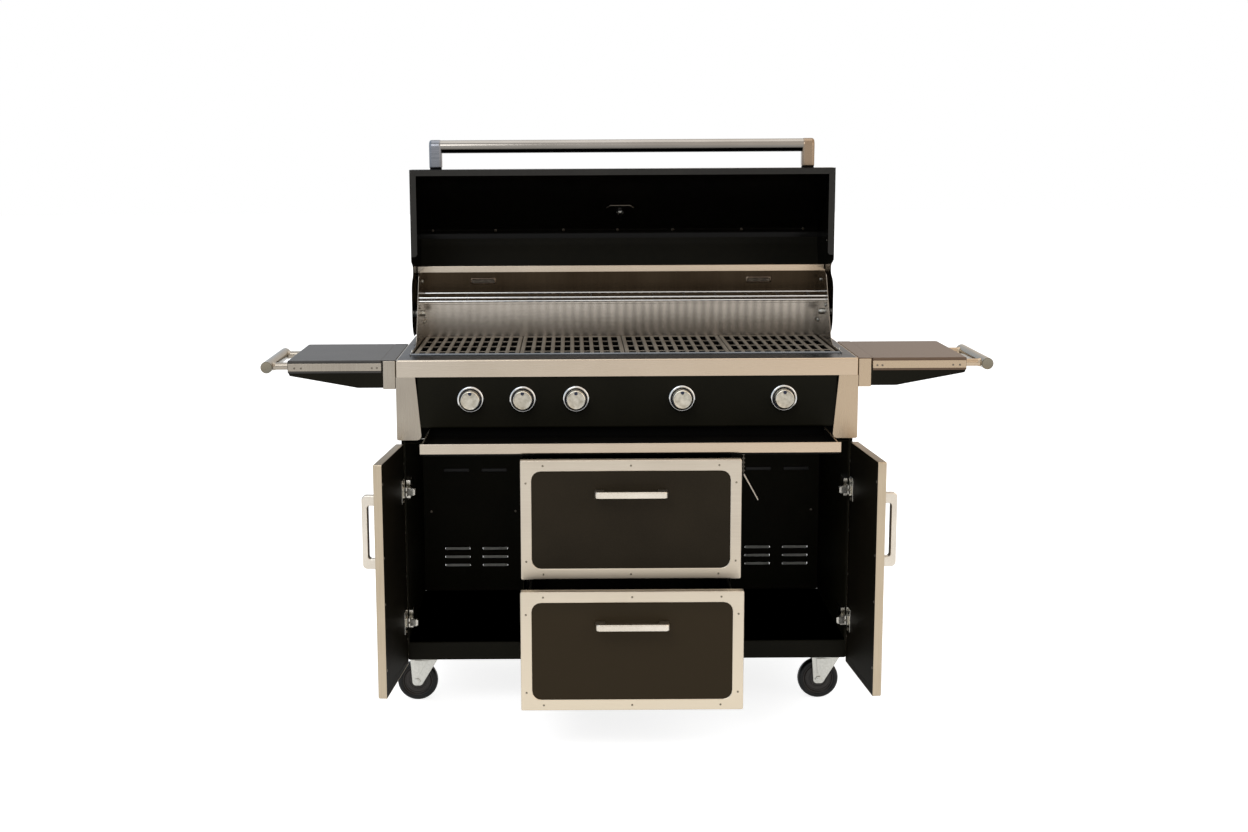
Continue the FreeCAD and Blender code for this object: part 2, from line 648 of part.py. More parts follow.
# Four cast grates side by side: bars run front to back, with three cross ribs.
grates = []
grate_width = (half_side * 2 - d.grate_gap * 5) / 4
grate_y = (wall_y + 0.5, liner_front - 0.5)
grate_length = grate_y[1] - grate_y[0]
bar_pitch = d.grate_bar + d.grate_slot
slot_count = int((grate_width.value - d.grate_bar.value) // bar_pitch.value)
slot_rows = 4
for i in range(4):
    low = -half_side + d.grate_gap + (grate_width + d.grate_gap) * i
    plate = box((low, low + grate_width), grate_y, (grate_under, d.grate_top))
    edge = (grate_width - bar_pitch * slot_count + d.grate_slot) / 2
    row_length = (grate_length - 16 * 2 - 10 * (slot_rows - 1)) / slot_rows
    holes = []
    for k in range(slot_count):
        for row in range(slot_rows):
            x0 = low + edge + bar_pitch * k
            y0 = grate_y[0] + 16 + (row_length + 10) * row
            holes.append(box((x0, x0 + d.grate_slot), (y0, y0 + row_length),
                             (grate_under - 1, d.grate_top + 1)))
    grates.append(cut(plate, *holes))
node("cooking_grates", group(*grates))

# Warming rack: a rear wire and two front wires, one over the other, between the firebox sides.
# Cross wires join front and rear, and short uprights join the two front wires.
rack_front, front_level = pivot_y - 72, d.rack_level - d.rack_dip
wires = [rod("x", (y, z), (-half_side, half_side), d.wire)
         for y, z in ((rack_front + d.rack_depth, d.rack_level), (rack_front, front_level),
                      (rack_front, front_level - d.rack_lip))]
for i in range(-6, 7):
    x = (half_side / 6.5) * i
    wires.append(rod("y", (x, d.rack_level - d.rack_dip / 2), (rack_front, rack_front + d.rack_depth),
                     d.wire * 0.6))
    wires.append(rod("z", (x, rack_front), (front_level - d.rack_lip, front_level), d.wire * 0.6))
node("warming_rack", fuse(*wires))

# Gas manifold: pipe and five valves with their stems.  From its left end a feed pipe drops, runs
# back under the firebox and ends in a spigot behind the back panel.
manifold_z = d.knob_level - 18
pipe_end = half_cab - 30
stem_tip = at(d.panel_set) - d.bezel_depth - 6
pipe = (-pipe_end, half_top - 120)
manifold = [rod("x", (manifold_y, manifold_z), pipe, d.manifold_radius)]
for x in knobs_x:
    manifold.append(rod("y", (x, d.knob_level), (at(d.panel_set) + 8, manifold_y + 12), 12))
    manifold.append(rod("y", (x, d.knob_level), (stem_tip, at(d.panel_set) + 9), d.stem_radius))
spigot_y = cab_back + 6
for radius, ends in ((d.feed_radius, (manifold_y - d.feed_radius - 2, spigot_y + 1)),
                     (d.inlet_nut, (cab_back - s - 6, cab_back - s - 0.4)),
                     (d.inlet_nut, (cab_back + 0.4, spigot_y)),
                     (d.inlet_radius, (spigot_y - 1, spigot_y + d.inlet_length))):
    manifold.append(rod("y", (inlet_x, feed_z), ends, radius))
manifold.append(rod("z", (inlet_x, manifold_y), (feed_z, manifold_z), d.feed_radius))
bore = rod("y", (inlet_x, feed_z), (manifold_y + 12, spigot_y + d.inlet_length + 1), d.feed_radius - 2)
node("gas_manifold", cut(fuse(*manifold), bore))

# Bezels: rounded rings on the control panel.
panel_y = at(d.panel_set)
bezel_inner = d.knob_radius + 1.5
bezels = []
for x in knobs_x:
    bezels.append(turning((x, d.knob_level), [(bezel_inner, -d.bezel_depth, 2),
                  (d.bezel_radius - 2, -d.bezel_depth, 4), (d.bezel_radius, 0),
                  (bezel_inner, 0)], panel_y))
node("knob_bezels", group(*bezels))

# ------------------------------------------------------------------------------------------------
# Side shelves
# ------------------------------------------------------------------------------------------------
shelf_in, shelf_out = half_top, half_top + d.shelf_length
block_out = half_top + d.block_width
shelf_y = (at(0), at(d.shelf_depth))
fold_z = d.worktop_height - d.shelf_fold
trim_top = d.worktop_height - d.shelf_edge
shelves, strips, brackets, towels = [], [], [], []
for side in (-1, 1):
    plate = box(span(side, shelf_in, shelf_out), shelf_y, (fold_z, d.worktop_height))
    inside = box(span(side, shelf_in - 1, shelf_out - s), (shelf_y[0] + s, shelf_y[1] - s),
                 (fold_z - 1, d.worktop_height - s))
    notch = box(span(side, shelf_in - 1, block_out), (shelf_y[0] - 1, shelf_y[1] + 1),
                (fold_z - 1, d.worktop_height - s))
    post_holes = [rod("x", (y, d.worktop_height - d.towel_drop), span(side, shelf_out - 9, shelf_out + 9),
                      6) for y in (shelf_y[0] + 38, shelf_y[0] + 8 + d.towel_length - 30)]
    shelves.append(cut(plate, inside, notch, *post_holes))
    strips.append(box(span(side, block_out + 1, shelf_out - d.trim_inset),
                      (shelf_y[0] - s, shelf_y[0]), (trim_top - d.trim_strip, trim_top)))
    block = cut(box(span(side, half_top, block_out), shelf_y,
                    (d.worktop_height - d.bracket_depth - 3, d.worktop_height - s)),
                box(span(side, half_top + s, block_out - s), (shelf_y[0] + s, shelf_y[1] + 1),
                    (d.worktop_height - d.bracket_depth - 3 + s, d.worktop_height - s * 2)))
    strips.append(block)
    for y in (shelf_y[0] + s, shelf_y[1] - s * 3):
        web = [(block_out * side, d.worktop_height - d.bracket_depth),
               ((block_out + 66) * side, d.worktop_height - d.bracket_depth, 20),
               ((shelf_out - s) * side, d.worktop_height - d.bracket_end),
               ((shelf_out - s) * side, fold_z + 12), (block_out * side, fold_z + 12)]
        brackets.append(prism("y", web if side > 0 else web[::-1], (y, y + s * 2)))
    towel_x, towel_z = shelf_out + d.towel_reach, d.worktop_height - d.towel_drop
    tube_ends = (shelf_y[0] + 8, shelf_y[0] + 8 + d.towel_length)
    tube = cut(rod("y", (towel_x * side, towel_z), tube_ends, d.towel_radius),
               rod("y", (towel_x * side, towel_z), (tube_ends[0] + 3, tube_ends[1] - 3),
                   d.towel_radius - d.tube_wall))
    arms = [rod("x", (y, towel_z), span(side, shelf_out - s - 4, towel_x - d.towel_radius + 1), 6)
            for y in (shelf_y[0] + 38, shelf_y[0] + 8 + d.towel_length - 30)]
    towels.append(fuse(tube, *arms))
node("side_shelves", group(*shelves))
node("shelf_trims", group(*strips))
node("shelf_brackets", group(*brackets))
node("shelf_handles", group(*towels))

# ------------------------------------------------------------------------------------------------
# Slides and rails of the cart, hinge plates, caster plates, match holder, pivot bolts
# ------------------------------------------------------------------------------------------------
lower_z = (d.fronts_bottom, d.fronts_bottom + d.drawer_high)
upper_z = (lower_z[1] + d.drawer_gap, d.fronts_top)
half_box = d.box_width / 2
slide_levels = [z[0] + d.box_lift + d.box_height * 0.35 for z in (lower_z, upper_z)]
slide_y = (cab_front + 6, cab_front + d.box_depth + 6)
rails = []
for side in (-1, 1):
    for level in slide_levels:
        rails.append(box(span(side, half_box + 8.5, d.divider_half), slide_y,
                         (level - d.slide_height / 2, level + d.slide_height / 2)))
    rails.append(box(span(side, half_top - d.tray_side - 12, half_cab - s),
                     (cab_front, cab_front + d.tray_depth), (d.tray_bottom - 0.4 - s, d.tray_bottom - 0.4)))
node("slide_rails", group(*rails))

hinge_levels = [d.fronts_bottom + d.hinge_inset, d.doors_top - d.hinge_inset]
mounts = []
for side in (-1, 1):
    for level in hinge_levels:
        mounts.append(box(span(side, half_cab - s - 12, half_cab - s), (cab_front + 3, cab_front + 58),
                          (level - 22, level + 22)))
node("hinge_plates", group(*mounts))

caster_spots = {"fl": (-1, d.caster_front), "fr": (1, d.caster_front),
                "rl": (-1, d.caster_back), "rr": (1, d.caster_back)}
plates = []
head_top = d.base_bottom - d.caster_plate - d.head_gap
head_low = head_top - d.caster_head
for side, row in caster_spots.values():
    x, y = d.caster_side * side, at(row)
    plates.append(fuse(box((x - 31, x + 31), (y - 31, y + 31), (d.base_bottom - d.caster_plate, d.base_bottom)),
                       rod("z", (x, y), (head_low + 1, d.base_bottom - 1), d.king_radius)))
node("caster_plates", group(*plates))

chain_x, chain_y = d.divider_half + 30, cab_front + 8
stick = turned(rod("z", (0, 0), (-74, 0), 3), chain_x, chain_y, d.tray_bottom - 92, ((0, 1, 0), -29))
chain = rod("z", (chain_x, chain_y), (d.tray_bottom - 92, d.tray_bottom - 12), 1)
node("match_holder", fuse(stick, chain))

cap_in = half_top - d.hood_inset - s
bolts = []
for side in (-1, 1):
    axis_at = (pivot_y, pivot_z)
    bolts.append(fuse(rod("x", axis_at, span(side, half_side - 4, cap_in + s + 3), d.pivot_radius),
                      rod("x", axis_at, span(side, half_side - 6, half_side), 8),
                      rod("x", axis_at, span(side, half_side + s, cap_in - 0.4), 9),
                      rod("x", axis_at, span(side, cap_in + s + 0.4, cap_in + s + 4), 9)))
node("pivot_bolts", group(*bolts))

# ------------------------------------------------------------------------------------------------
# Hood: drawn closed about its pivot, then swung up a quarter turn
# ------------------------------------------------------------------------------------------------
HOOD_UP = ((1, 0, 0), -90)


def up(part):
    """A hood piece, drawn closed with the pivot at the origin, in its raised place."""
    return turned(part, 0, pivot_y, pivot_z, HOOD_UP)


def closed(y, z):
    """(y, z) of the closed hood, measured from the pivot."""
    return (size(y) - d.pivot_back, size(z) - d.pivot_height)


rim_z = d.worktop_height + d.hood_clear
band_z = rim_z + d.hood_band
skin_lines = [closed(d.hood_front, rim_z), (*closed(d.hood_front, band_z), 45),
              (*closed(d.hood_brow, d.hood_top), 30), (*closed(d.hood_crown, d.hood_top), 60),
              closed(d.hood_rear, d.hood_rear_height)]
skin_block = prism("x", skin_lines[::-1], (-cap_in, cap_in))
doc.recompute()
mouth = []
for i, skin_face in enumerate(skin_block.Shape.Faces, 1):
    normal = skin_face.normalAt(0, 0)
    if abs(normal.x) > 0.9 or (normal.z < -0.1 and skin_face.CenterOfMass.z < 190 and normal.y > -0.9):
        mouth.append(f"Face{i}")
skin = doc.addObject("Part::Thickness", "Skin")
skin.Faces = (skin_block, mouth)
bind(skin, "Value", -s)
skin.Join = 2
lip_y, lip_z = closed(d.hood_front, rim_z)
lip = box((-cap_in, cap_in), (lip_y, lip_y + d.rim_width), (lip_z, lip_z + s))
brow_y, brow_z = closed(d.hood_brow, d.hood_top)
band_y, band_edge = closed(d.hood_front, band_z)
tilt = math.degrees(math.atan2(brow_z.value - band_edge.value, brow_y.value - band_y.value)) - 90
gauge_y = band_y + (brow_y - band_y) * 0.69
gauge_z = band_edge + (brow_z - band_edge) * 0.69


def on_slope(part):
    """A piece drawn on the Y axis, set square on the hood's front slope."""
    return turned(part, 0, gauge_y, gauge_z, ((1, 0, 0), tilt))


node("hood_shell", up(cut(fuse(skin, lip), on_slope(rod("y", (0, 0), (-5, 8), 9)))))

# End caps: the lower edge steps up at a notch, then drops round the pivot as a lobe.
notch_y = d.pivot_back - d.lobe_half * 2.36
lobe_z = d.pivot_height - d.lobe_drop
cap_lines = [closed(d.hood_front, rim_z), (*closed(notch_y, rim_z), 10),
             (*closed(notch_y + 25, rim_z + 74), 15), (*closed(d.pivot_back - 80, lobe_z), 34),
             (*closed(d.pivot_back + d.lobe_half, lobe_z), 54),
             closed(d.pivot_back + d.lobe_half, d.side_top + 4),
             closed(d.hood_rear - 2, d.hood_rear_height), (*closed(d.hood_crown, d.hood_top), 60),
             (*closed(d.hood_brow, d.hood_top), 30), (*closed(d.hood_front, band_z), 45)]
caps = []
for side in (-1, 1):
    plate = prism("x", cap_lines, span(side, cap_in, cap_in + s))
    edge_y = (closed(d.hood_front, rim_z)[0], closed(notch_y - 12, rim_z)[0])
    fold = box(span(side, cap_in + s - d.rim_width, cap_in), (edge_y[0] + d.rim_width, edge_y[1]),
               (lip_z, lip_z + s))
    caps.append(cut(fuse(plate, fold), rod("x", (0, 0), span(side, cap_in - 2, cap_in + s + 2),
                                           d.pivot_radius + d.run)))
node("hood_end_caps", up(group(*caps)))

# Handle: a tube between two rounded posts on the front band.
tube_y, tube_z = closed(d.hood_front - d.tube_standoff, d.tube_level)
post_out = cap_in - d.tube_margin
handle = [hollow("x", (tube_y, tube_z), (-post_out + 31, post_out - 31), d.tube_radius,
                 d.tube_radius - d.tube_wall)]
for side in (-1, 1):
    width = span(side, post_out - 32, post_out)
    handle.append(box(width, (tube_y, lip_y), (tube_z - d.tube_radius - 1, tube_z + d.tube_radius + 1)))
    handle.append(rod("x", (tube_y, tube_z), width, d.tube_radius + 1))
node("hood_handle", up(fuse(*handle)))

# Thermometer on the slope: dial outside, nut and probe inside.
dial = fuse(rod("y", (0, 0), (-16, 0), d.gauge_radius), rod("y", (0, 0), (-1, 12), 9),
            rod("y", (0, 0), (11, 60), 3))
node("thermometer", up(on_slope(dial)))

# ------------------------------------------------------------------------------------------------
# Doors: drawn closed about their hinge axes, then swung open
# ------------------------------------------------------------------------------------------------
hinge_y = cab_front - d.gap
leaf_z = (d.fronts_bottom, d.doors_top)


def pull_outline(length, post, bar, reach):
    """Corners of a D-shaped handle: (stand-out, along), the face it is fixed to at 0."""
    half, inner = length / 2, reach - bar
    return [(0, half - post), (0, half), (-reach, half, 10), (-reach, -half, 10),
            (0, -half), (0, post - half), (-inner, post - half, 5), (-inner, half - post, 5)]


for name, side, angle in (("left", -1, d.left_door_angle), ("right", 1, d.right_door_angle)):
    def swing(part):
        """A door piece in its open place."""
        return turned(part, half_cab * side, hinge_y, 0, ((0, 0, side), angle))

    leaf_x = span(-side, 0, d.door_width)
    inner_x = span(-side, s, d.door_width - s)
    body = box(leaf_x, (-d.front_thick, 0), leaf_z)
    room = box(inner_x, (-d.front_thick + s, 1), (leaf_z[0] + s, leaf_z[1] - s))
    node(f"{name}_door_skin", swing(cut(body, room)))

    cup_x = -d.cup_inset * side
    cups = [rod("y", (cup_x, level), (-s - 1, 1), d.hinge_cup) for level in hinge_levels]
    node(f"{name}_door_liner", swing(cut(box(inner_x, (-s, 0), (leaf_z[0] + s, leaf_z[1] - s)), *cups)))

    hinges = []
    for level in hinge_levels:
        cup = rod("y", (cup_x, level), (-12, 0), d.hinge_cup)
        flange = box(span(-side, 4, 42), (0, s), (level - 30, level + 30))
        arm = box(span(-side, 16.5, 30), (s, 30), (level - 8, level + 8))
        hinges.append(fuse(cup, flange, arm))
    node(f"{name}_door_hinges", swing(group(*hinges)))

    pull = prism("x", [(-d.front_thick + y, d.door_pull_level + z, *r) for y, z, *r in
                       pull_outline(d.door_pull_length, 24, 14, d.pull_reach)],
                 span(-side, d.door_width - d.door_pull_inset - 9, d.door_width - d.door_pull_inset + 9))
    node(f"{name}_door_handle", swing(pull))

# ------------------------------------------------------------------------------------------------
# Drawers, pulled out
# ------------------------------------------------------------------------------------------------
half_drawer = d.drawer_width / 2
for name, (low, high), out in (("upper", upper_z, d.upper_out), ("lower", lower_z, d.lower_out)):
    front = at(front_face) - out
    back = front + d.front_thick
    window = [(sx * (half_drawer - d.frame_border), z, d.frame_corner)
              for sx, z in ((-1, low + d.frame_border), (1, low + d.frame_border),
                            (1, high - d.frame_border), (-1, high - d.frame_border))]
    frame = cut(box((-half_drawer, half_drawer), (front, back), (low, high)),
                box((-half_drawer + s, half_drawer - s), (front + s, back + 1), (low + s, high - s)),
                prism("y", window[::-1], (front - 1, front + s + 1)))
    node(f"{name}_drawer_frame", frame)

    inner_x, inner_z = (-half_drawer + s, half_drawer - s), (low + s, high - s)
    node(f"{name}_drawer_panel", group(box(inner_x, (front + s, front + s * 2), inner_z),
                                       box(inner_x, (back - s, back), inner_z)))

    floor = low + d.box_lift
    tub = cut(box((-half_box, half_box), (back, back + d.box_depth), (floor, floor + d.box_height)),
              box((-half_box + s, half_box - s), (back + s, back + d.box_depth - s),
                  (floor + s, floor + d.box_height + 1)))
    level = floor + d.box_height * 0.35
    runners = [box(span(side, half_box, half_box + 8), (back + 6, back + d.box_depth - 6),
                   (level - 9, level + 9)) for side in (-1, 1)]
    node(f"{name}_drawer_box", group(tub, *runners))

    corners = [(z, front + y, *r) for y, z, *r in
               pull_outline(d.drawer_pull_length, 22, 14, d.pull_reach)]
    level = high - d.drawer_pull_drop
    node(f"{name}_drawer_handle", prism("z", corners[::-1], (level - d.pull_bar / 2,
                                                             level + d.pull_bar / 2)))

# ------------------------------------------------------------------------------------------------
# Grease tray, pulled out
# ------------------------------------------------------------------------------------------------
half_tray = half_top - d.tray_side
tray_front, tray_z = at(front_face) - d.tray_out, (d.tray_bottom, d.tray_bottom + d.tray_height)
node("tray_front", box((-half_tray, half_tray), (tray_front, tray_front + s * 2), tray_z))
tray_y = (tray_front + s * 2, tray_front + s * 2 + d.tray_depth)
node("tray_pan", cut(box((-half_tray + 1, half_tray - 1), tray_y, (tray_z[0], tray_z[1] - 1)),
                     box((-half_tray + 1 + s, half_tray - 1 - s), (tray_y[0] + s, tray_y[1] - s),
                         (tray_z[0] + s, tray_z[1] + 1))))

# ------------------------------------------------------------------------------------------------
# Knobs: turned caps with a small pointer dimple, on the valve stems
# ------------------------------------------------------------------------------------------------
for number, x in enumerate(knobs_x, 1):
    cap = turning((x, d.knob_level), [(0, -d.knob_length), (d.knob_radius - 1, -d.knob_length, 4),
                                      (d.knob_radius, -1), (0, -1)], panel_y)
    bore = rod("y", (x, d.knob_level), (stem_tip - 0.5, panel_y + 1), d.stem_radius + d.run)
    dimple = rod("y", (x, d.knob_level + d.knob_radius * 0.66),
                 (panel_y - d.knob_length - 1, panel_y - d.knob_length + 0.8), 2)
    node(f"knob_{number}", cut(cap, bore, dimple))

# ------------------------------------------------------------------------------------------------
# Casters: swivelling fork with its axle, and the wheel that turns on it
# ------------------------------------------------------------------------------------------------
leg_in = d.wheel_width / 2 + 2
for name, (side, row) in caster_spots.items():
    x, y = d.caster_side * side, at(row)
    axle_x, axle_z = x - d.caster_trail, d.wheel_radius
    head = rod("z", (x, y), (head_low, head_top), 24)
    legs = []
    for turn in (-1, 1):
        inner, outer = span(turn, leg_in, leg_in + 2.5)
        legs.append(prism("y", [(x - 26, head_low + 3), (axle_x - 13, axle_z - 12, 11),
                                (axle_x + 13, axle_z - 12, 11), (x + 22, head_low + 3)],
                          (y + inner, y + outer)))
    axle = rod("y", (axle_x, axle_z), (y - leg_in - 7, y + leg_in + 7), d.axle_radius)
    nuts = [rod("y", (axle_x, axle_z), (y + a, y + b), 8)
            for a, b in ((-leg_in - 5.5, -leg_in - 1), (leg_in + 1, leg_in + 5.5))]
    node(f"caster_fork_{name}", cut(fuse(head, *legs, axle, *nuts),
                                    rod("z", (x, y), (head_low - 1, head_top + 1),
                                        d.king_radius + d.run)))
    tread, half_wheel = d.wheel_radius * 0.74, d.wheel_width / 2
    tyre = turning((axle_x, axle_z), [(tread, -half_wheel), (d.wheel_radius, -half_wheel, 5),
                                      (d.wheel_radius, half_wheel, 5), (tread, half_wheel)], y)
    hub = turning((axle_x, axle_z), [(d.axle_radius + d.run, 0 - half_wheel - 1),
                                     (d.axle_radius + 8, 0 - half_wheel - 1), (tread, 3 - half_wheel),
                                     (tread, half_wheel - 3), (d.axle_radius + 8, half_wheel + 1),
                                     (d.axle_radius + d.run, half_wheel + 1)], y)
    node(f"wheel_{name}", group(tyre, hub))

# ------------------------------------------------------------------------------------------------
# Check everything, then write one file per piece
# ------------------------------------------------------------------------------------------------
doc.recompute()
for item in doc.Objects:
    if {"Invalid", "Error"} & set(item.State):
        raise RuntimeError(f"{item.Name} ({item.Label}) failed to build: {item.State}")
for name, obj in NODES:
    if obj.Shape.isNull() or not obj.Shape.isValid() or not obj.Shape.Solids:
        raise RuntimeError(f"{name} has no valid solid")
os.makedirs("parts", exist_ok=True)
for name, obj in NODES:
    obj.Shape.exportStep(os.path.join("parts", f"{name}.step"))
print(f"{len(NODES)} pieces written")
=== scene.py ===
"""Gas barbecue grill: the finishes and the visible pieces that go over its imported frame.

Sizes in the builders are millimetres; meshes are written in metres.
"""
import json
import math

import bmesh
import bpy
from bpy.props import FloatProperty, FloatVectorProperty, PointerProperty
from mathutils import Matrix, Vector


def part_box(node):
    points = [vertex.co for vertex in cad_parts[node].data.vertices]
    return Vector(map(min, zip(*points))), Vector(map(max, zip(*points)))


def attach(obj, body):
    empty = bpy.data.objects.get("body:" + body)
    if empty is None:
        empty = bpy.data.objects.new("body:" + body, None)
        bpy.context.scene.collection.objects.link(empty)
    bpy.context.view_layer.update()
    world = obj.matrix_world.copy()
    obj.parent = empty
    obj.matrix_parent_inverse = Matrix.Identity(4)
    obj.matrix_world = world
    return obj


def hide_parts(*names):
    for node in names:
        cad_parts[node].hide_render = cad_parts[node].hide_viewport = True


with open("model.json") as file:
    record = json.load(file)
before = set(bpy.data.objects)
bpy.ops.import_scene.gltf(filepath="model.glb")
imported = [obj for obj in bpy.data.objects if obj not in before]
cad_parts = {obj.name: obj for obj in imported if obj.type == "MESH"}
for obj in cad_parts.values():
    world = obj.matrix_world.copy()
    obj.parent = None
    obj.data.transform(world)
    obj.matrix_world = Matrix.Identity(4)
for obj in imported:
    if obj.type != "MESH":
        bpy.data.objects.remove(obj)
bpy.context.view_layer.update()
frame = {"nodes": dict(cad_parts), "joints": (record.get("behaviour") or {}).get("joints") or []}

bl_info = {
    "name": "Gas Grill",
    "version": (1, 0, 0),
    "blender": (4, 5, 0),
    "location": "3D View > Sidebar > Gas Grill",
    "description": "Builds the finished pieces of a gas grill over its frame",
    "category": "Add Mesh",
}


# ----------------------------------------------------------------------------------------------
# Places, in millimetres, read from the frame
# ----------------------------------------------------------------------------------------------
def mm(node):
    """Lowest and highest corner of a frame node, in millimetres."""
    low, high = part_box(node)
    return low * 1000, high * 1000


def size(name):
    """A size that the user can set, in millimetres."""
    return round(getattr(bpy.context.scene.grill_sizes, name) * 1000, 4)


QUARTER = math.pi / 2
FRONT, BACK, UP, DOWN = (0, -1, 0), (0, 1, 0), (0, 0, 1), (0, 0, -1)
SIDES = {-1: "left", 1: "right"}
CASTERS = ("fl", "fr", "rl", "rr")
JOINTS = {joint["name"]: joint for joint in frame["joints"]}
TOP_LOW, TOP_HIGH = mm("worktop")
FACE = TOP_LOW.y                                  # front face of the worktop
SURFACE = TOP_HIGH.z - 3                          # worktop surface, under its raised rim
HALF_TOP = TOP_HIGH.x
FIREBOX = 521.6                                   # half the clear width inside the firebox
DOOR = 281                                        # width of a door
PIVOT = Vector(JOINTS["hood_hinge"]["pos_m"]) * 1000
HOOD_UP = Matrix.Translation((0, PIVOT.y, PIVOT.z)) @ Matrix.Rotation(-QUARTER, 4, "X")
HANDLE_LEVEL = PIVOT.z + 427                      # middle of the hood's tube
KNOBS = [Vector(JOINTS[f"knob_{n}_turn"]["pos_m"]) * 1000 for n in range(1, 6)]
GRATE_TOP = mm("cooking_grates")[0].z + 12
TURN_X = Matrix.Rotation(QUARTER, 4, "X")         # stands what is turned about Y upright


def pair(side, low, high):
    """(low, high) on the right, or its mirror on the left, lowest first."""
    return (low, high) if side > 0 else (-high, -low)


# ----------------------------------------------------------------------------------------------
# Node trees and materials
# ----------------------------------------------------------------------------------------------
def colour(code, alpha=1.0):
    """An sRGB hex code as linear RGBA."""
    parts = [int(code[i:i + 2], 16) / 255 for i in (1, 3, 5)]
    return [c / 12.92 if c <= 0.04045 else ((c + 0.055) / 1.055) ** 2.4 for c in parts] + [alpha]


def add(tree, kind, links=None, **settings):
    """Add one node; settings are its properties and inputs by name.

    links feeds an input, by name or number, from a node, a socket or a plain value.
    """
    made = tree.nodes.new(kind)
    for key, value in settings.items():
        if hasattr(made, key):
            setattr(made, key, value)
    for key, value in settings.items():
        if not hasattr(made, key):
            made.inputs[key.replace("_", " ")].default_value = value
    for key, source in (links or {}).items():
        if isinstance(source, bpy.types.Node):
            source = next(socket for socket in source.outputs if socket.enabled)
        if isinstance(source, bpy.types.NodeSocket):
            tree.links.new(source, made.inputs[key])
        else:
            made.inputs[key].default_value = source
    return made


def empty_material(name):
    """A new material with an empty tree, and that tree."""
    material = bpy.data.materials.new(name)
    material.use_nodes = True
    material.node_tree.nodes.clear()
    return material, material.node_tree


def finish(name, tones, metal=0.0, rough=(0.4, 0.5), grain=(1, 1, 1), size=2.0, bump=0.1,
           depth=0.2, spread=0.5, fade=None, ribs=None, **shader):
    """A material whose colour, roughness and surface follow a noise pattern.

    tones are the darkest and lightest colour; size is the pattern's grain in millimetres and
    grain stretches it along x, y, z; depth is the relief in millimetres.  fade is (axis, from,
    to, hex): the colour it turns into along that axis; ribs is (pitch, from, to, share):
    upright darker ribs that come in along x.
    """
    material, tree = empty_material(name)
    source = add(tree, "ShaderNodeTexCoord").outputs["Object"]
    stretched = add(tree, "ShaderNodeMapping", {"Vector": source}, Scale=grain)
    fine = add(tree, "ShaderNodeTexNoise", {"Vector": stretched}, Scale=1000 / size, Detail=3.0)
    broad = add(tree, "ShaderNodeTexNoise", {"Vector": source}, Scale=9.0, Detail=2.0)
    blend = add(tree, "ShaderNodeMix", {0: spread, "A": broad.outputs["Fac"],
                                        "B": fine.outputs["Fac"]}, data_type="FLOAT")
    ramp = add(tree, "ShaderNodeValToRGB", {"Fac": blend.outputs[0]})
    for element, position, tone in zip(ramp.color_ramp.elements, (0.3, 0.7), tones):
        element.position, element.color = position, tone
    tint = ramp.outputs["Color"]
    if fade or ribs:
        along = add(tree, "ShaderNodeSeparateXYZ", {"Vector": source})
    if fade:
        reach = add(tree, "ShaderNodeMapRange", {"Value": along.outputs[fade[0]]},
                    From_Min=fade[1] / 1000, From_Max=fade[2] / 1000)
        tint = add(tree, "ShaderNodeMix", {0: reach.outputs[0], 6: tint, 7: colour(fade[3])},
                   data_type="RGBA").outputs[2]
    # ribs: darker upright streaks multiplied into the colour, painted reflections
    if ribs:
        wave = add(tree, "ShaderNodeTexWave", {"Vector": source}, Distortion=1.2,
                   Scale=math.pi * 100 / ribs[0], Detail_Scale=0.4)
        strength = add(tree, "ShaderNodeMapRange", {"Value": along.outputs["X"]},
                       From_Min=ribs[1] / 1000, From_Max=ribs[2] / 1000,
                       To_Min=ribs[3] * 0.35, To_Max=ribs[3])
        shade = add(tree, "ShaderNodeMath",
                    {0: wave.outputs["Fac"], 1: strength.outputs[0]}, operation="MULTIPLY")
        tint = add(tree, "ShaderNodeMix", {0: shade.outputs[0], 6: tint, 7: colour("#5a5249")},
                   data_type="RGBA", blend_type="MULTIPLY").outputs[2]
    rougher = add(tree, "ShaderNodeMapRange", {"Value": fine.outputs["Fac"]},
                  To_Min=rough[0], To_Max=rough[1])
    relief = add(tree, "ShaderNodeBump", {"Height": fine.outputs["Fac"]}, Strength=bump,
                 Distance=depth / 1000)
    skin = add(tree, "ShaderNodeBsdfPrincipled",
               {"Base Color": tint, "Roughness": rougher.outputs[0],
                "Normal": relief.outputs[0]}, Metallic=metal, **shader)
    add(tree, "ShaderNodeOutputMaterial", {"Surface": skin.outputs[0]})
    return material


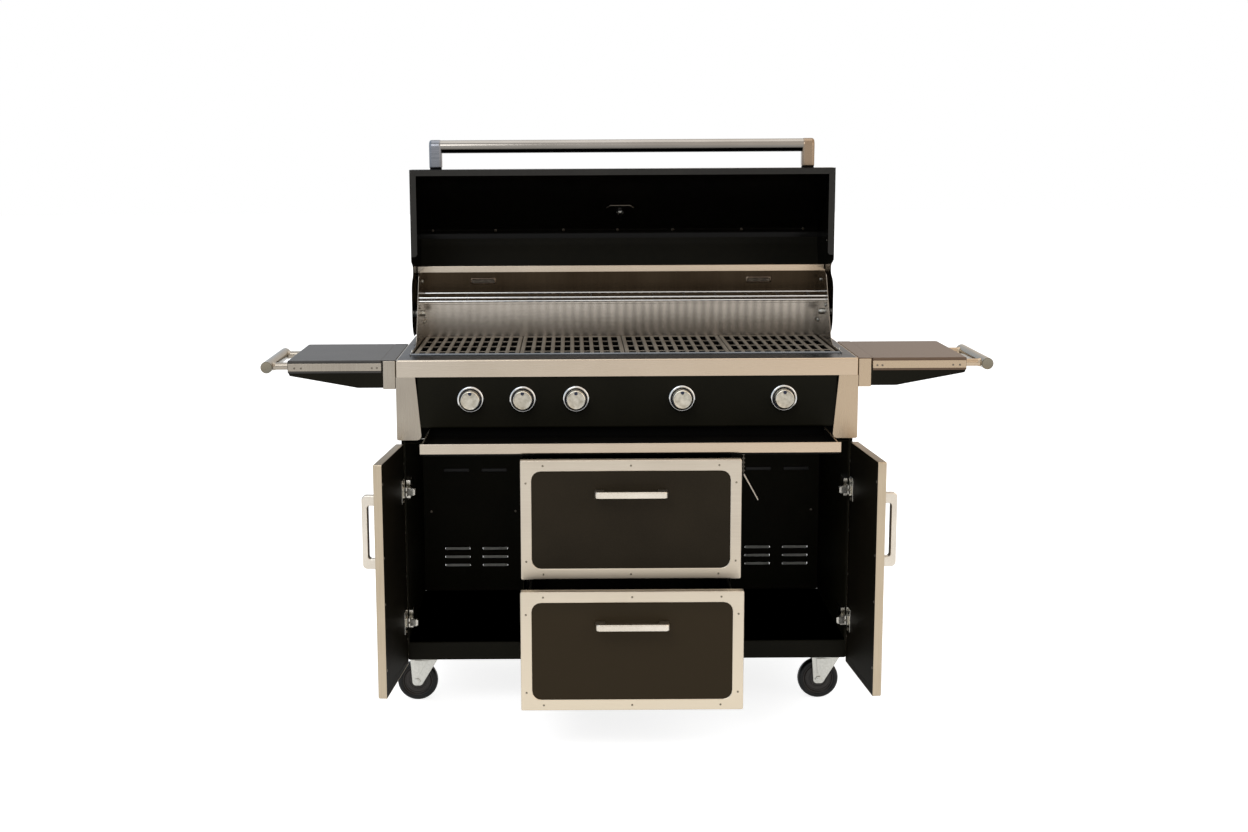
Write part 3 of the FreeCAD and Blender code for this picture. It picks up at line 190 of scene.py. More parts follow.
# Each finish: its material's name, its darkest and lightest tone, and how its surface was made.
ALONG_X, ALONG_Z = (0.02, 1, 1), (1, 1, 0.02)     # brushed grain runs 50 times as long as wide
BRUSHED = dict(metal=1.0, rough=(0.2, 0.32), bump=0.05, depth=0.05, size=1.6)
SATIN = dict(metal=1.0, rough=(0.3, 0.44), bump=0.06, depth=0.05, size=1.8)
COATED = dict(size=2.5, bump=0.12, depth=0.08)
FINISH_TABLE = {
    # Stainless sheet, grade 304 with a number 4 brushed grain: fine streaks along the sheet that
    # stretch reflections across them.  Real grain is finer than it can be drawn, so it is 1.6 mm.
    # Its tone is painted warmer towards the right: a painted reflection.
    "sheet": ("brushed_stainless_across", "#b2a899", "#c4baac",
              dict(BRUSHED, grain=ALONG_X, fade=("X", -600, 600, "#cbb69d"))),
    # The same sheet brushed upwards, painted lighter and warmer towards the right: a painted
    # reflection.
    "upright": ("brushed_stainless_upright", "#999084", "#a9a194",
                dict(BRUSHED, grain=ALONG_Z, fade=("X", -560, 560, "#bca88f"))),
    # The same sheet lying flat, painted a dark blue-grey: a painted reflection of the dark inside
    # of the hood.
    "ledge": ("shaded_stainless_ledge", "#5a5d61", "#7d8084",
              dict(BRUSHED, grain=ALONG_X, Specular_Tint=(0.45, 0.45, 0.45, 1))),
    # Brushed across, with darker upright ribs painted into its colour as reflections that the
    # grain spreads upright; they are faint on the left and full from the middle rightwards.
    "liner": ("stainless_with_painted_reflection_ribs", "#aca499", "#c1b9ae",
              dict(grain=ALONG_X, size=1.5, metal=1.0, rough=(0.16, 0.22), bump=0.4, depth=0.1,
                   spread=0.3, ribs=(23, -260, 0, 0.3))),
    # Stainless fronts and folds with a softer satin grain, painted lighter towards the bottom:
    # painted light.
    "front": ("satin_stainless_front", "#bfb4a4", "#ccc2b2",
              dict(SATIN, grain=ALONG_X, fade=("Z", 520, 150, "#d9ccb6"))),
    # Its fold along a door's edge, brushed upwards.
    "edge": ("satin_stainless_door_fold", "#b3a48d", "#c3b49d", dict(SATIN, grain=ALONG_Z)),
    # Welded tube, brushed lengthways and drawn smooth.
    "rail": ("satin_stainless_rail", "#736d60", "#968f7f",
             dict(grain=(1, 0.02, 1), size=1.4, metal=1.0, rough=(0.18, 0.3), bump=0.04,
                  depth=0.04)),
    # Drawn and polished tube: nearly a mirror, with faint draw lines, and painted dark below its
    # middle, a painted reflection of the hood it sees there.
    "tube": ("polished_stainless_tube", "#98938c", "#a6a19a",
             dict(grain=ALONG_X, size=1.2, metal=1.0, rough=(0.1, 0.2), bump=0.02, depth=0.03,
                  fade=("Z", HANDLE_LEVEL + 2, HANDLE_LEVEL - 9, "#1c1712"))),
    # Cast and tumbled, then brushed: soft broad highlights.
    "grip": ("satin_cast_handle", "#c9c0b2", "#e4dccf",
             dict(size=2.2, metal=1.0, rough=(0.24, 0.36), bump=0.10, depth=0.06)),
    # The same casting, painted blue-grey as a reflection of the dark hood beside it and warmer
    # towards the right: painted reflections.
    "post": ("casting_with_painted_hood_reflection", "#6d7176", "#93949a",
             dict(size=1.8, grain=ALONG_X, metal=1.0, rough=(0.2, 0.34), bump=0.08, depth=0.05,
                  fade=("X", -300, 480, "#96836f"))),
    # Knob cap: zinc casting, spun satin, so its sheen is mottled.
    "spun": ("spun_satin_knob", "#a8a08e", "#efe9da",
             dict(size=12.0, metal=1.0, rough=(0.26, 0.46), bump=0.15, depth=0.08,
                  spread=0.75)),
    # Bright chrome over nickel: a cold mirror with hardly any grain.
    "chrome": ("chrome_plate", "#d8d8d8", "#e8e8e6",
               dict(size=14.0, metal=1.0, rough=(0.04, 0.09), bump=0.01, depth=0.02)),
    # Nickel plate on pressed steel: a warmer, softer mirror.
    "nickel": ("nickel_plated_hinge", "#c9c5bb", "#dedad0",
               dict(size=6.0, metal=1.0, rough=(0.14, 0.26), bump=0.04, depth=0.04)),
    # Electroplated zinc: whitish, with blurred and mottled highlights.
    "zinc": ("bright_zinc_plate", "#bcbbb4", "#deddd6",
             dict(metal=1.0, rough=(0.26, 0.42), size=5.0, bump=0.12, depth=0.08)),
    # Plated steel in a dark, dull tone: the screws show as small dark points.
    "fixing": ("dull_plated_fixing", "#5d574e", "#8d857a",
               dict(metal=1.0, rough=(0.25, 0.4), size=3.0)),
    # Drawn brass: yellow metal, lightly tarnished.
    "brass": ("drawn_brass", "#9a7d3e", "#c2a25a", dict(metal=1.0, rough=(0.22, 0.38), size=4.0)),
    # Satin powder coat: slight orange peel, so highlights break up softly.
    "paint": ("black_powder_coat", "#13120b", "#1b1911",
              dict(COATED, rough=(0.4, 0.52), Specular_IOR_Level=0.07)),
    # The same coat on drawer and door panels, warmed by the light from the floor.
    "panel": ("warm_black_powder_coat", "#231d13", "#2c251a",
              dict(COATED, rough=(0.42, 0.54), Specular_IOR_Level=0.1,
                   fade=("Z", 420, 330, "#332a1c"))),
    # The same coat inside the cabinet, painted a little lighter to stand for the light inside it:
    # painted light.
    "inside": ("cabinet_powder_coat_painted_lighter", "#1d1b11", "#28251a",
               dict(COATED, rough=(0.45, 0.56), Specular_IOR_Level=0.07)),
    # The same coat on the doors' inner sheets, with less sheen.
    "inner": ("door_inner_powder_coat", "#100e08", "#1a160f",
              dict(COATED, rough=(0.5, 0.6), Specular_IOR_Level=0.05)),
    # Hammered coat: small dimples catch the light all over. Its tone is painted lighter and
    # browner towards the right, so the right-hand shelf is brown-grey: painted light.
    "shelf": ("grey_hammered_coat", "#2a2825", "#3d3a36",
              dict(rough=(0.36, 0.5), size=1.6, bump=0.18, depth=0.10, Specular_IOR_Level=0.38,
                   fade=("X", -300, 300, "#66503e"))),
    # Porcelain enamel: glassy with a faint ripple.
    "enamel": ("black_porcelain_enamel", "#070605", "#0c0b08",
               dict(rough=(0.18, 0.26), size=30.0, bump=0.05, depth=0.15,
                    Specular_IOR_Level=0.12)),
    # The same enamel, a little lighter and duller along the hood's lower band.
    "band": ("dulled_enamel_band", "#15140e", "#1c1a13",
             dict(rough=(0.5, 0.6), size=20.0, bump=0.04, depth=0.1, Specular_IOR_Level=0.08)),
    # The same enamel in a lighter grey: along the hood's rims, and as a painted highlight on the
    # embossed slots.
    "rim": ("grey_enamel_rim_and_slot_highlight", "#15130f", "#211f1a",
            dict(rough=(0.34, 0.46), size=6.0, bump=0.06, Specular_IOR_Level=0.3)),
    # Enamelled cast iron with a dull, coarse sand-cast skin: grey on its top and black below it.
    "iron": ("grey_topped_cast_iron", "#786f63", "#a79e90",
             dict(metal=0.4, rough=(0.34, 0.6), size=3.0, bump=0.35, depth=0.25,
                  Specular_IOR_Level=0.1,
                  fade=("Z", GRATE_TOP - 1.0, GRATE_TOP - 3.0, "#060504"))),
    # Stainless burner tube that the flame has tinted brown.
    "burner": ("heat_tinted_burner_steel", "#4d4038", "#8a7a68",
               dict(metal=1.0, rough=(0.3, 0.5), size=6.0, bump=0.1, depth=0.1)),
    # Rear wall sheet, dark brown, streaked and still shiny: its dark tone is a painted reflection
    # of the dark inside of the hood.
    "browned": ("steel_with_painted_hood_reflection", "#2c2319", "#3f3529",
                dict(metal=1.0, rough=(0.16, 0.3), size=4.0, grain=ALONG_Z, bump=0.05,
                     depth=0.06)),
    # Enamelled pan under a film of grease: black with a soft, uneven sheen.
    "pan": ("greased_black_pan", "#050403", "#0c0a07",
            dict(rough=(0.4, 0.6), size=9.0, bump=0.1, depth=0.08, Specular_IOR_Level=0.08)),
    # Steel under soot: dark, rough and without sheen.
    "soot": ("sooted_steel", "#17120d", "#2b231a",
             dict(metal=0.4, rough=(0.45, 0.65), size=5.0, bump=0.15, depth=0.1)),
    # Moulded polyurethane: an even black skin with a faint grain.
    "tyre": ("moulded_black_polyurethane", "#030303", "#080707",
             dict(rough=(0.3, 0.42), size=1.2, bump=0.12, depth=0.06, Specular_IOR_Level=0.3)),
    # Moulded nylon: brownish black and a little duller than the tyre.
    "hub": ("moulded_nylon_hub", "#120d0a", "#211812",
            dict(rough=(0.36, 0.5), size=1.6, bump=0.1, depth=0.06)),
    # Flat black with no sheen, so it reads as a gap: the ticks, gaskets and probe, and painted
    # shade on the control panel's return, where it stands for the dark recess above the tray.
    "dark": ("flat_black_and_gap_shade", "#030302", "#060504",
             dict(rough=(0.6, 0.75), size=2.0, Specular_IOR_Level=0.05)),
    # Flat dark blue: the printed ink of the pointer dots, and a painted reflection in the bezels'
    # wells.
    "pointer": ("dark_blue_print_and_well_reflection", "#0c1730", "#122244", dict(rough=(0.3, 0.4), size=3.0)),
    # Light grey matt blade behind each vent slot: painted light, standing for the light seen
    # through the vents.
    "vent": ("vent_blade_painted_light", "#c4c4bc", "#dadad2", dict(rough=(0.5, 0.6), size=4.0, bump=0.05)),
    # Printed card under the thermometer's bezel: warm white and matt.
    "dial": ("printed_dial_card", "#d9d5c8", "#e6e2d6", dict(rough=(0.4, 0.5), size=3.0)),
    # Painted needle: dull red.
    "needle": ("painted_needle", "#7d1510", "#95201a", dict(rough=(0.35, 0.45), size=3.0)),
}
FINISHES = {}


def dressed(key):
    """The finish of that name, made when it is first asked for.

    The user sets its lightest tone, and its darkest keeps its ratio to it.
    """
    if key not in FINISHES:
        name, *codes, settings = FINISH_TABLE[key]
        dark, light = map(colour, codes)
        picked = [*getattr(bpy.context.scene.grill_colours, key), 1.0]
        darker = [d * p / c for d, p, c in zip(dark, picked, light)]
        FINISHES[key] = finish(name, (darker, picked), **settings)
    return FINISHES[key]


# ----------------------------------------------------------------------------------------------
# Outlines and meshes
# ----------------------------------------------------------------------------------------------
def rounded(corners, closed=True, step=18):
    """Corners (u, v) or (u, v, radius) as a line of points with its corners rounded."""
    spots = [Vector(c[:2]) for c in corners]
    line = []
    for i, corner in enumerate(corners):
        ends = not closed and i in (0, len(corners) - 1)
        if len(corner) < 3 or ends:
            line.append(spots[i])
            continue
        back = (spots[i - 1] - spots[i]).normalized()
        ahead = (spots[(i + 1) % len(spots)] - spots[i]).normalized()
        half = back.angle(ahead) / 2
        middle = spots[i] + (back + ahead).normalized() * (corner[2] / math.sin(half))
        start = spots[i] + back * (corner[2] / math.tan(half)) - middle
        sweep = math.pi - 2 * half
        count = max(2, math.ceil(math.degrees(sweep) / step))
        turn = -1 if back.x * ahead.y - back.y * ahead.x > 0 else 1
        for k in range(count + 1):
            line.append(middle + Matrix.Rotation(turn * sweep * k / count, 2) @ start)
    return line


def rectangle(x0, x1, y0, y1, radius, steps=4):
    """A rounded rectangle as 4 * (steps + 1) points, always in the same order."""
    line = []
    for cx, cy, quarter in ((x1 - radius, y1 - radius, 0), (x0 + radius, y1 - radius, 1),
                            (x0 + radius, y0 + radius, 2), (x1 - radius, y0 + radius, 3)):
        for k in range(steps + 1):
            angle = (quarter + k / steps) * math.pi / 2
            line.append(Vector((cx + radius * math.cos(angle), cy + radius * math.sin(angle))))
    return line


PLANES = {
    "x": lambda u, v, w: (w, u, v),
    "y": lambda u, v, w: (u, w, v),
    "z": lambda u, v, w: (u, v, w),
}


def loft(mesh, loops, closed=True, cyclic=False, fill=False):
    """Skin the loops of 3-D points one after another."""
    rows = [[mesh.verts.new(point) for point in loop] for loop in loops]
    count = len(rows[0])
    for i in range(len(rows) if cyclic else len(rows) - 1):
        low, high = rows[i], rows[(i + 1) % len(rows)]
        for k in range(count if closed else count - 1):
            n = (k + 1) % count
            mesh.faces.new((low[k], low[n], high[n], high[k]))
    if fill:
        mesh.faces.new(rows[0][::-1])
        mesh.faces.new(rows[-1])


def slab(mesh, outline, axis, low, high):
    """A closed outline run along axis."""
    put = PLANES[axis]
    loft(mesh, [[put(*p, w) for p in outline] for w in (low, high)], fill=True)


def along_x(mesh, section, stations):
    """A closed section of (y, z) run along X through the stations."""
    loft(mesh, [[(x, y, z) for y, z in section] for x in stations], fill=True)


def block(mesh, x, y, z, radius=1.5):
    """A block whose upright corners are rounded; a bevel rounds the rest."""
    slab(mesh, rectangle(*x, *y, radius, 3), "z", *z)


def frame_sheet(mesh, profile, rect, axis="z", fill=False, cyclic=True):
    """A folded sheet that follows a rectangle.

    profile holds (inset, place along axis, corner radius); inset may be (x0, x1, y0, y1).
    """
    put = PLANES[axis]
    loops = []
    for inset, along, radius in profile:
        a, b, c, d = inset if isinstance(inset, tuple) else (inset,) * 4
        line = rectangle(rect[0] + a, rect[1] - b, rect[2] + c, rect[3] - d, radius)
        loops.append([put(*p, along) for p in line])
    loft(mesh, loops, cyclic=cyclic and not fill, fill=fill)


def lathe(mesh, profile, place, steps=40):
    """Turn (radius, along) about the local Y axis of the matrix place; poles are closed."""
    rows = []
    for radius, along in profile:
        count = 1 if radius < 1e-6 else steps
        rows.append([mesh.verts.new(place @ Vector((radius * math.cos(a), along,
                                                    radius * math.sin(a))))
                     for a in (2 * math.pi * k / count for k in range(count))])
    for low, high in zip(rows, rows[1:]):
        for k in range(steps if max(len(low), len(high)) > 1 else 0):
            n = (k + 1) % steps
            corners = [low[k % len(low)], low[n % len(low)], high[n % len(high)],
                       high[k % len(high)]]
            mesh.faces.new(list(dict.fromkeys(corners)))


def pipe(mesh, path, radius, sides=12):
    """A round bar along a path of 3-D points, with closed ends."""
    path = [Vector(p) for p in path]
    loops, across = [], None
    for i, spot in enumerate(path):
        ahead = (path[min(i + 1, len(path) - 1)] - path[max(i - 1, 0)]).normalized()
        if across is None:
            across = ahead.orthogonal().normalized()
        across = (across - ahead * across.dot(ahead)).normalized()
        other = ahead.cross(across)
        loops.append([spot + (across * math.cos(a) + other * math.sin(a)) * radius
                      for a in (2 * math.pi * k / sides for k in range(sides))])
    loft(mesh, loops, fill=True)


def shaped(build, *args, **settings):
    """A new mesh that one of the builders above has filled."""
    mesh = bmesh.new()
    build(mesh, *args, **settings)
    return mesh


def piece(name, mesh, body, key, replaces=(), place=None, soften=0.0, wall=0.0,
          sheet=False, smooth=32, segments=3):
    """Write mesh, in millimetres, as one finished piece that rides on body."""
    bmesh.ops.recalc_face_normals(mesh, faces=mesh.faces)
    if sheet:
        middle = sum((v.co for v in mesh.verts), Vector()) / len(mesh.verts)
        outward = sum((f.calc_center_median() - middle).dot(f.normal) * f.calc_area()
                      for f in mesh.faces)
        if outward < 0:
            bmesh.ops.reverse_faces(mesh, faces=mesh.faces)
    data = bpy.data.meshes.new(name)
    mesh.transform(Matrix.Scale(0.001, 4) @ (place or Matrix()))
    mesh.to_mesh(data)
    mesh.free()
    return settle(name, data, body, key, replaces, soften, wall, smooth, segments)


def settle(name, data, body, key, replaces=(), soften=0.0, wall=0.0, smooth=32,
           segments=3):
    """Put a mesh in the scene with its finish, hide the frame nodes it replaces and hang it on its
    body.
    """
    made = bpy.data.objects.new(name, data)
    bpy.context.scene.collection.objects.link(made)
    if not data.materials:
        data.materials.append(dressed(key))
    data.shade_smooth()
    data.set_sharp_from_angle(angle=math.radians(smooth))
    if soften:
        round_edges(made, soften, smooth, segments).harden_normals = True
    if wall:
        solid = made.modifiers.new("wall", "SOLIDIFY")
        solid.thickness, solid.offset, solid.use_even_offset = wall / 1000, -1, True
    made.modifiers.new("shade", "WEIGHTED_NORMAL").keep_sharp = True
    if replaces:
        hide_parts(*replaces)
    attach(made, body)
    return made


def round_edges(made, width, angle, segments):
    """A bevel on every edge sharper than angle."""
    bevel = made.modifiers.new("edges", "BEVEL")
    bevel.width, bevel.segments = width / 1000, segments
    bevel.limit_method, bevel.angle_limit = "ANGLE", math.radians(angle)
    return bevel


# ----------------------------------------------------------------------------------------------
# Pieces that Geometry Nodes repeat or run along a path
# ----------------------------------------------------------------------------------------------
def open_tree(name, *inputs):
    """An empty tree with a geometry in, a geometry out, the named inputs and a finish."""
    tree = bpy.data.node_groups.new(name, "GeometryNodeTree")
    for way in ("INPUT", "OUTPUT"):
        tree.interface.new_socket("Geometry", in_out=way, socket_type="NodeSocketGeometry")
    for label, kind in (*inputs, ("Finish", "Material")):
        tree.interface.new_socket(label, in_out="INPUT", socket_type="NodeSocket" + kind)
    return tree, add(tree, "NodeGroupInput")


def close_tree(tree, start, shape):
    """Realize the copies, give them their finish and end the tree."""
    whole = add(tree, "GeometryNodeRealizeInstances", {"Geometry": shape})
    done = add(tree, "GeometryNodeSetMaterial",
               {"Geometry": whole, "Material": start.outputs["Finish"]})
    add(tree, "NodeGroupOutput", {"Geometry": done})
    return tree


def copies_tree():
    """Stands a copy on every point, its Z along the point's facing and as large as its grow."""
    tree, start = open_tree("copies_on_points", ("Copy", "Object"), ("Size", "Float"))
    copy = add(tree, "GeometryNodeObjectInfo", {"Object": start.outputs["Copy"]})
    facing, grow = (add(tree, "GeometryNodeInputNamedAttribute", data_type="FLOAT_VECTOR",
                        Name=name) for name in ("facing", "grow"))
    turned = add(tree, "FunctionNodeAlignRotationToVector", {"Vector": facing}, axis="Z")
    sized = add(tree, "ShaderNodeVectorMath", {0: grow, "Scale": start.outputs["Size"]},
                operation="SCALE")
    stood = add(tree, "GeometryNodeInstanceOnPoints", {
        "Points": start.outputs["Geometry"], "Instance": copy.outputs["Geometry"],
        "Rotation": turned, "Scale": sized})
    return close_tree(tree, start, stood)


def wires_tree():
    """Runs a round wire along every edge chain, its corners bent to a radius."""
    tree, start = open_tree("wire_along_edges", ("Radius", "Float"), ("Bend", "Float"),
                            ("Sides", "Int"))
    path = add(tree, "GeometryNodeMeshToCurve", {"Mesh": start.outputs["Geometry"]})
    bent = add(tree, "GeometryNodeFilletCurve",
               {"Curve": path, "Radius": start.outputs["Bend"]}, mode="POLY",
               Limit_Radius=True, Count=6)
    section = add(tree, "GeometryNodeCurvePrimitiveCircle",
                  {"Resolution": start.outputs["Sides"], "Radius": start.outputs["Radius"]})
    wire = add(tree, "GeometryNodeCurveToMesh", {"Curve": bent, "Profile Curve": section},
               Fill_Caps=True)
    return close_tree(tree, start, wire)


def grow_mesh(name, data, make_tree, inputs):
    """Evaluate a tree on the mesh data with its named inputs, and return the plain mesh."""
    tree = TREES.get(make_tree) or TREES.setdefault(make_tree, make_tree())
    base = bpy.data.objects.new(name, data)
    bpy.context.scene.collection.objects.link(base)
    nodes = base.modifiers.new("grow", "NODES")
    nodes.node_group = tree
    for item in tree.interface.items_tree:
        if item.in_out == "INPUT" and item.name in inputs:
            nodes[item.identifier] = inputs[item.name]
    bpy.context.view_layer.update()
    whole = base.evaluated_get(bpy.context.evaluated_depsgraph_get())
    grown = bpy.data.meshes.new_from_object(whole)
    grown.name = name
    base.modifiers.remove(nodes)
    bpy.data.objects.remove(base)
    if not grown.polygons:
        raise RuntimeError(name + " came out empty")
    return grown


TREES = {}


def copies(name, shape, spots, body, key, replaces=(), smooth=32):
    """Stand the bmesh shape (mm) on spots of (place in mm, facing, scale), as one piece."""
    shape.transform(Matrix.Scale(0.001, 4))
    bmesh.ops.recalc_face_normals(shape, faces=shape.faces)
    pattern = bpy.data.meshes.new(name + "_pattern")
    shape.to_mesh(pattern)
    shape.free()
    model = bpy.data.objects.new(name + "_pattern", pattern)
    bpy.context.scene.collection.objects.link(model)
    points = bpy.data.meshes.new(name + "_points")
    points.from_pydata([Vector(place) * 0.001 for place, _, _ in spots], [], [])
    for label, values in (("facing", [f for _, f, _ in spots]),
                          ("grow", [(g, g, g) for _, _, g in spots])):
        layer = points.attributes.new(label, "FLOAT_VECTOR", "POINT")
        layer.data.foreach_set("vector", [c for value in values for c in value])
    grown = grow_mesh(name, points, copies_tree,
                      {"Copy": model, "Size": 1.0, "Finish": dressed(key)})
    bpy.data.objects.remove(model)
    return settle(name, grown, body, key, replaces, smooth=smooth)


def wires(name, paths, radius, body, key, bend_at=0.0, sides=10, replaces=()):
    """Bend a round wire along each path (mm), as one piece."""
    spots, edges = [], []
    for path in paths:
        first = len(spots)
        spots += [Vector(p) * 0.001 for p in path]
        edges += [(k, k + 1) for k in range(first, len(spots) - 1)]
    lines = bpy.data.meshes.new(name + "_lines")
    lines.from_pydata(spots, edges, [])
    grown = grow_mesh(name, lines, wires_tree, {
        "Radius": radius / 1000, "Bend": bend_at / 1000, "Sides": sides, "Finish": dressed(key)})
    return settle(name, grown, body, key, replaces, smooth=40)


def screw_shape(radius=4.0, height=2.2, sides=16):
    """A pan head with a cross recess, standing on z = 0."""
    mesh = shaped(lathe, [(radius * 0.96, 0), (radius, height * 0.4),
                          (radius * 0.86, height * 0.78), (radius * 0.5, height)], TURN_X, sides)
    ring = sorted(mesh.verts, key=lambda v: -v.co.z)[:sides]
    rim = sorted(ring, key=lambda v: math.atan2(v.co.y, v.co.x))
    cross = []
    for k, vert in enumerate(rim):
        angle = math.atan2(vert.co.y, vert.co.x)
        reach = radius * (0.44 if k % 4 in (0, 1) else 0.16)
        cross.append(mesh.verts.new((reach * math.cos(angle), reach * math.sin(angle),
                                     height * 0.98)))
    deep = [mesh.verts.new((v.co.x * 0.7, v.co.y * 0.7, height * 0.35)) for v in cross]
    for low, high in ((rim, cross), (cross, deep)):
        for k in range(sides):
            n = (k + 1) % sides
            mesh.faces.new((low[k], low[n], high[n], high[k]))
    mesh.faces.new(deep)
    base = sorted(mesh.verts, key=lambda v: v.co.z)[:sides]
    mesh.faces.new(sorted(base, key=lambda v: -math.atan2(v.co.y, v.co.x)))
    return mesh


def nut_shape(across=10.0, height=4.0, bore=3.0, stud=3.0):
    """A hexagon nut with chamfered corners on its stud, standing on z = 0."""
    reach = across / math.sqrt(3)
    flat = [(reach * math.cos(k * math.pi / 3), reach * math.sin(k * math.pi / 3))
            for k in range(6)]
    rows = [(0, 0.93), (height * 0.12, 1), (height * 0.88, 1), (height, 0.93)]
    mesh = shaped(loft, [[(x * s, y * s, z) for x, y in flat] for z, s in rows], fill=True)
    lathe(mesh, [(0, height - 0.5), (bore, height - 0.5), (bore, height + stud - 0.6),
                 (bore * 0.8, height + stud), (0, height + stud)], TURN_X, 12)
    return mesh


# ----------------------------------------------------------------------------------------------
# Worktop, posts and control panel
# ----------------------------------------------------------------------------------------------
def build_worktop():
    """Pressed stainless top: deep folded front, raised rim round the cooking opening."""
    low, high, wall = TOP_LOW, TOP_HIGH, size("wall")
    rim = (size("opening_side"), size("opening_side"), size("ledge_depth"), 4)

    def grow(extra):
        return tuple(max(side + extra, 0.8) for side in rim)

    profile = [((0,) * 4, low.z, 5), ((0,) * 4, SURFACE - 4, 5), ((0.5,) * 4, SURFACE - 2.2, 5),
               ((1.7, 1.7, 1.7, 1.0), SURFACE - 0.6, 5), ((3.8, 3.8, 3.8, 1.2), SURFACE, 5),
               (grow(-4.6), SURFACE, 8), (grow(-3.2), SURFACE + 0.5, 7),
               (grow(-2.2), SURFACE + 1.8, 6), (grow(-1.4), high.z - 0.3, 6),
               (grow(-0.7), high.z, 6), (rim, high.z - 0.7, 5), (rim, SURFACE - 1.6, 5),
               (grow(-wall), SURFACE - 1.5, 6), ((5, 5, 5, 1.6), SURFACE - 1.5, 5),
               ((wall,) * 4, SURFACE - 5, 5), ((wall,) * 4, low.z, 5)]
    made = piece("worktop_sheet", shaped(frame_sheet, profile, (low.x, high.x, low.y, high.y)),
                 "cart", "sheet", ["worktop"], smooth=40)
    # the flat top faces take the ledge finish, whose dark tone is a painted reflection of the
    # hood's inside
    made.data.materials.append(dressed("ledge"))
    for face in made.data.polygons:
        face.material_index = int(face.center.z * 1000 > SURFACE - 0.2)


def build_posts():
    """Corner posts beside the control panel, widening to a rounded foot."""
    low, high = mm("corner_posts")
    wall = size("wall")
    top, foot = HALF_TOP - 46, HALF_TOP - 60
    face = rounded([(HALF_TOP, low.z, 5), (HALF_TOP, high.z), (top, high.z), (foot, low.z, 12)])
    cheek = rounded([(FACE + wall, low.z + 1, 1), (high.y, low.z, 8), (high.y, high.z),
                     (FACE + wall, high.z)])
    for side, name in SIDES.items():
        piece(f"post_face_{name}",
              shaped(slab, [(x * side, z) for x, z in face], "y", FACE, FACE + wall),
              "cart", "upright", ["corner_posts"], soften=0.5)
        piece(f"post_cheek_{name}",
              shaped(slab, cheek, "x", *pair(side, HALF_TOP - wall, HALF_TOP)),
              "cart", "upright", soften=0.4)


def build_panel():
    """Painted control panel with a folded foot, and the return above the tray."""
    low, high = mm("control_panel")
    wall = size("wall")
    foot = high.x - 4
    section = rounded([(low.y, high.z), (low.y, low.z, 5), (low.y + 22, low.z),
                       (low.y + 22, low.z + wall), (low.y + wall, low.z + wall, 4),
                       (low.y + wall, high.z)])
    piece("control_panel_sheet", shaped(along_x, section, (-foot, foot)), "cart",
          "paint", ["control_panel"], soften=0.3)
    # the return is flat black: painted shade for the dark recess above the tray
    outline = rectangle(-foot - 3, foot + 3, low.z - 34, low.z - 1, 2)
    piece("control_panel_return",
          shaped(slab, outline, "y", low.y + 18, low.y + 18 + wall), "cart",
          "dark", soften=0.3)


def build_bezels():
    """Round chrome bezels: a deep ring with a rolled front edge and a dark blue well, a painted
    reflection in the ring's groove.
    """
    panel = mm("control_panel")[0].y
    rings, wells = bmesh.new(), bmesh.new()
    for spot in KNOBS:
        place = Matrix.Translation((spot.x, panel, spot.z))
        lathe(rings, [(26, -0.2), (26, -6.2), (26.8, -8.2), (28.6, -9), (30.6, -8.3),
                      (31.8, -6.4), (32.4, -3), (33, -0.6), (33, 0.2), (26, 0.2), (26, -0.2)],
              place, 56)
        lathe(wells, [(0, -0.9), (24, -0.9), (25.9, -1.2), (25.9, 0.2), (0, 0.2)], place, 40)
    piece("knob_bezel_rings", rings, "cart", "chrome", ["knob_bezels"],
          smooth=50)
    # the wells' dark blue is a painted reflection in the chrome groove
    piece("knob_bezel_wells", wells, "cart", "pointer")


def build_knobs():
    """Turned knobs: satin spun face, chamfer, finely grooved skirt and a dark pointer dot."""
    mark = size("pointer_radius")
    for number, spot in enumerate(KNOBS, 1):
        knob = f"knob_{number}"
        low, high = mm(knob)
        radius, depth = (high.x - low.x) / 2 - 0.8, high.y - low.y
        profile = [(0, 1.1), (radius * 0.3, 1.0), (radius * 0.62, 0.7), (radius - 3.6, 0.35),
                   (radius - 2.6, 0), (radius - 1.3, 0.5), (radius - 0.5, 1.6),
                   (radius - 0.2, 3.2)]
        for k in range(8):
            groove = k * 2.6
            profile += [(radius - 0.2, 5.0 + groove), (radius - 0.75, 5.7 + groove),
                        (radius - 0.75, 6.4 + groove), (radius - 0.2, 7.1 + groove)]
        profile += [(radius, depth - 1), (radius - 0.8, depth), (0, depth)]
        place = Matrix.Translation((spot.x, low.y, spot.z))
        piece(f"knob_cap_{number}", shaped(lathe, profile, place, 64), knob,
              "spun", [knob], smooth=40)
        dot = Matrix.Translation((spot.x, low.y, spot.z + radius * 0.72))
        outline = [(0, 0.1), (mark - 1.1, 0.1), (mark - 0.3, 0.2), (mark, 0.9), (mark, 1.6),
                   (0, 1.6)]
        piece(f"knob_pointer_{number}", shaped(lathe, outline, dot, 24), knob,
              "pointer")


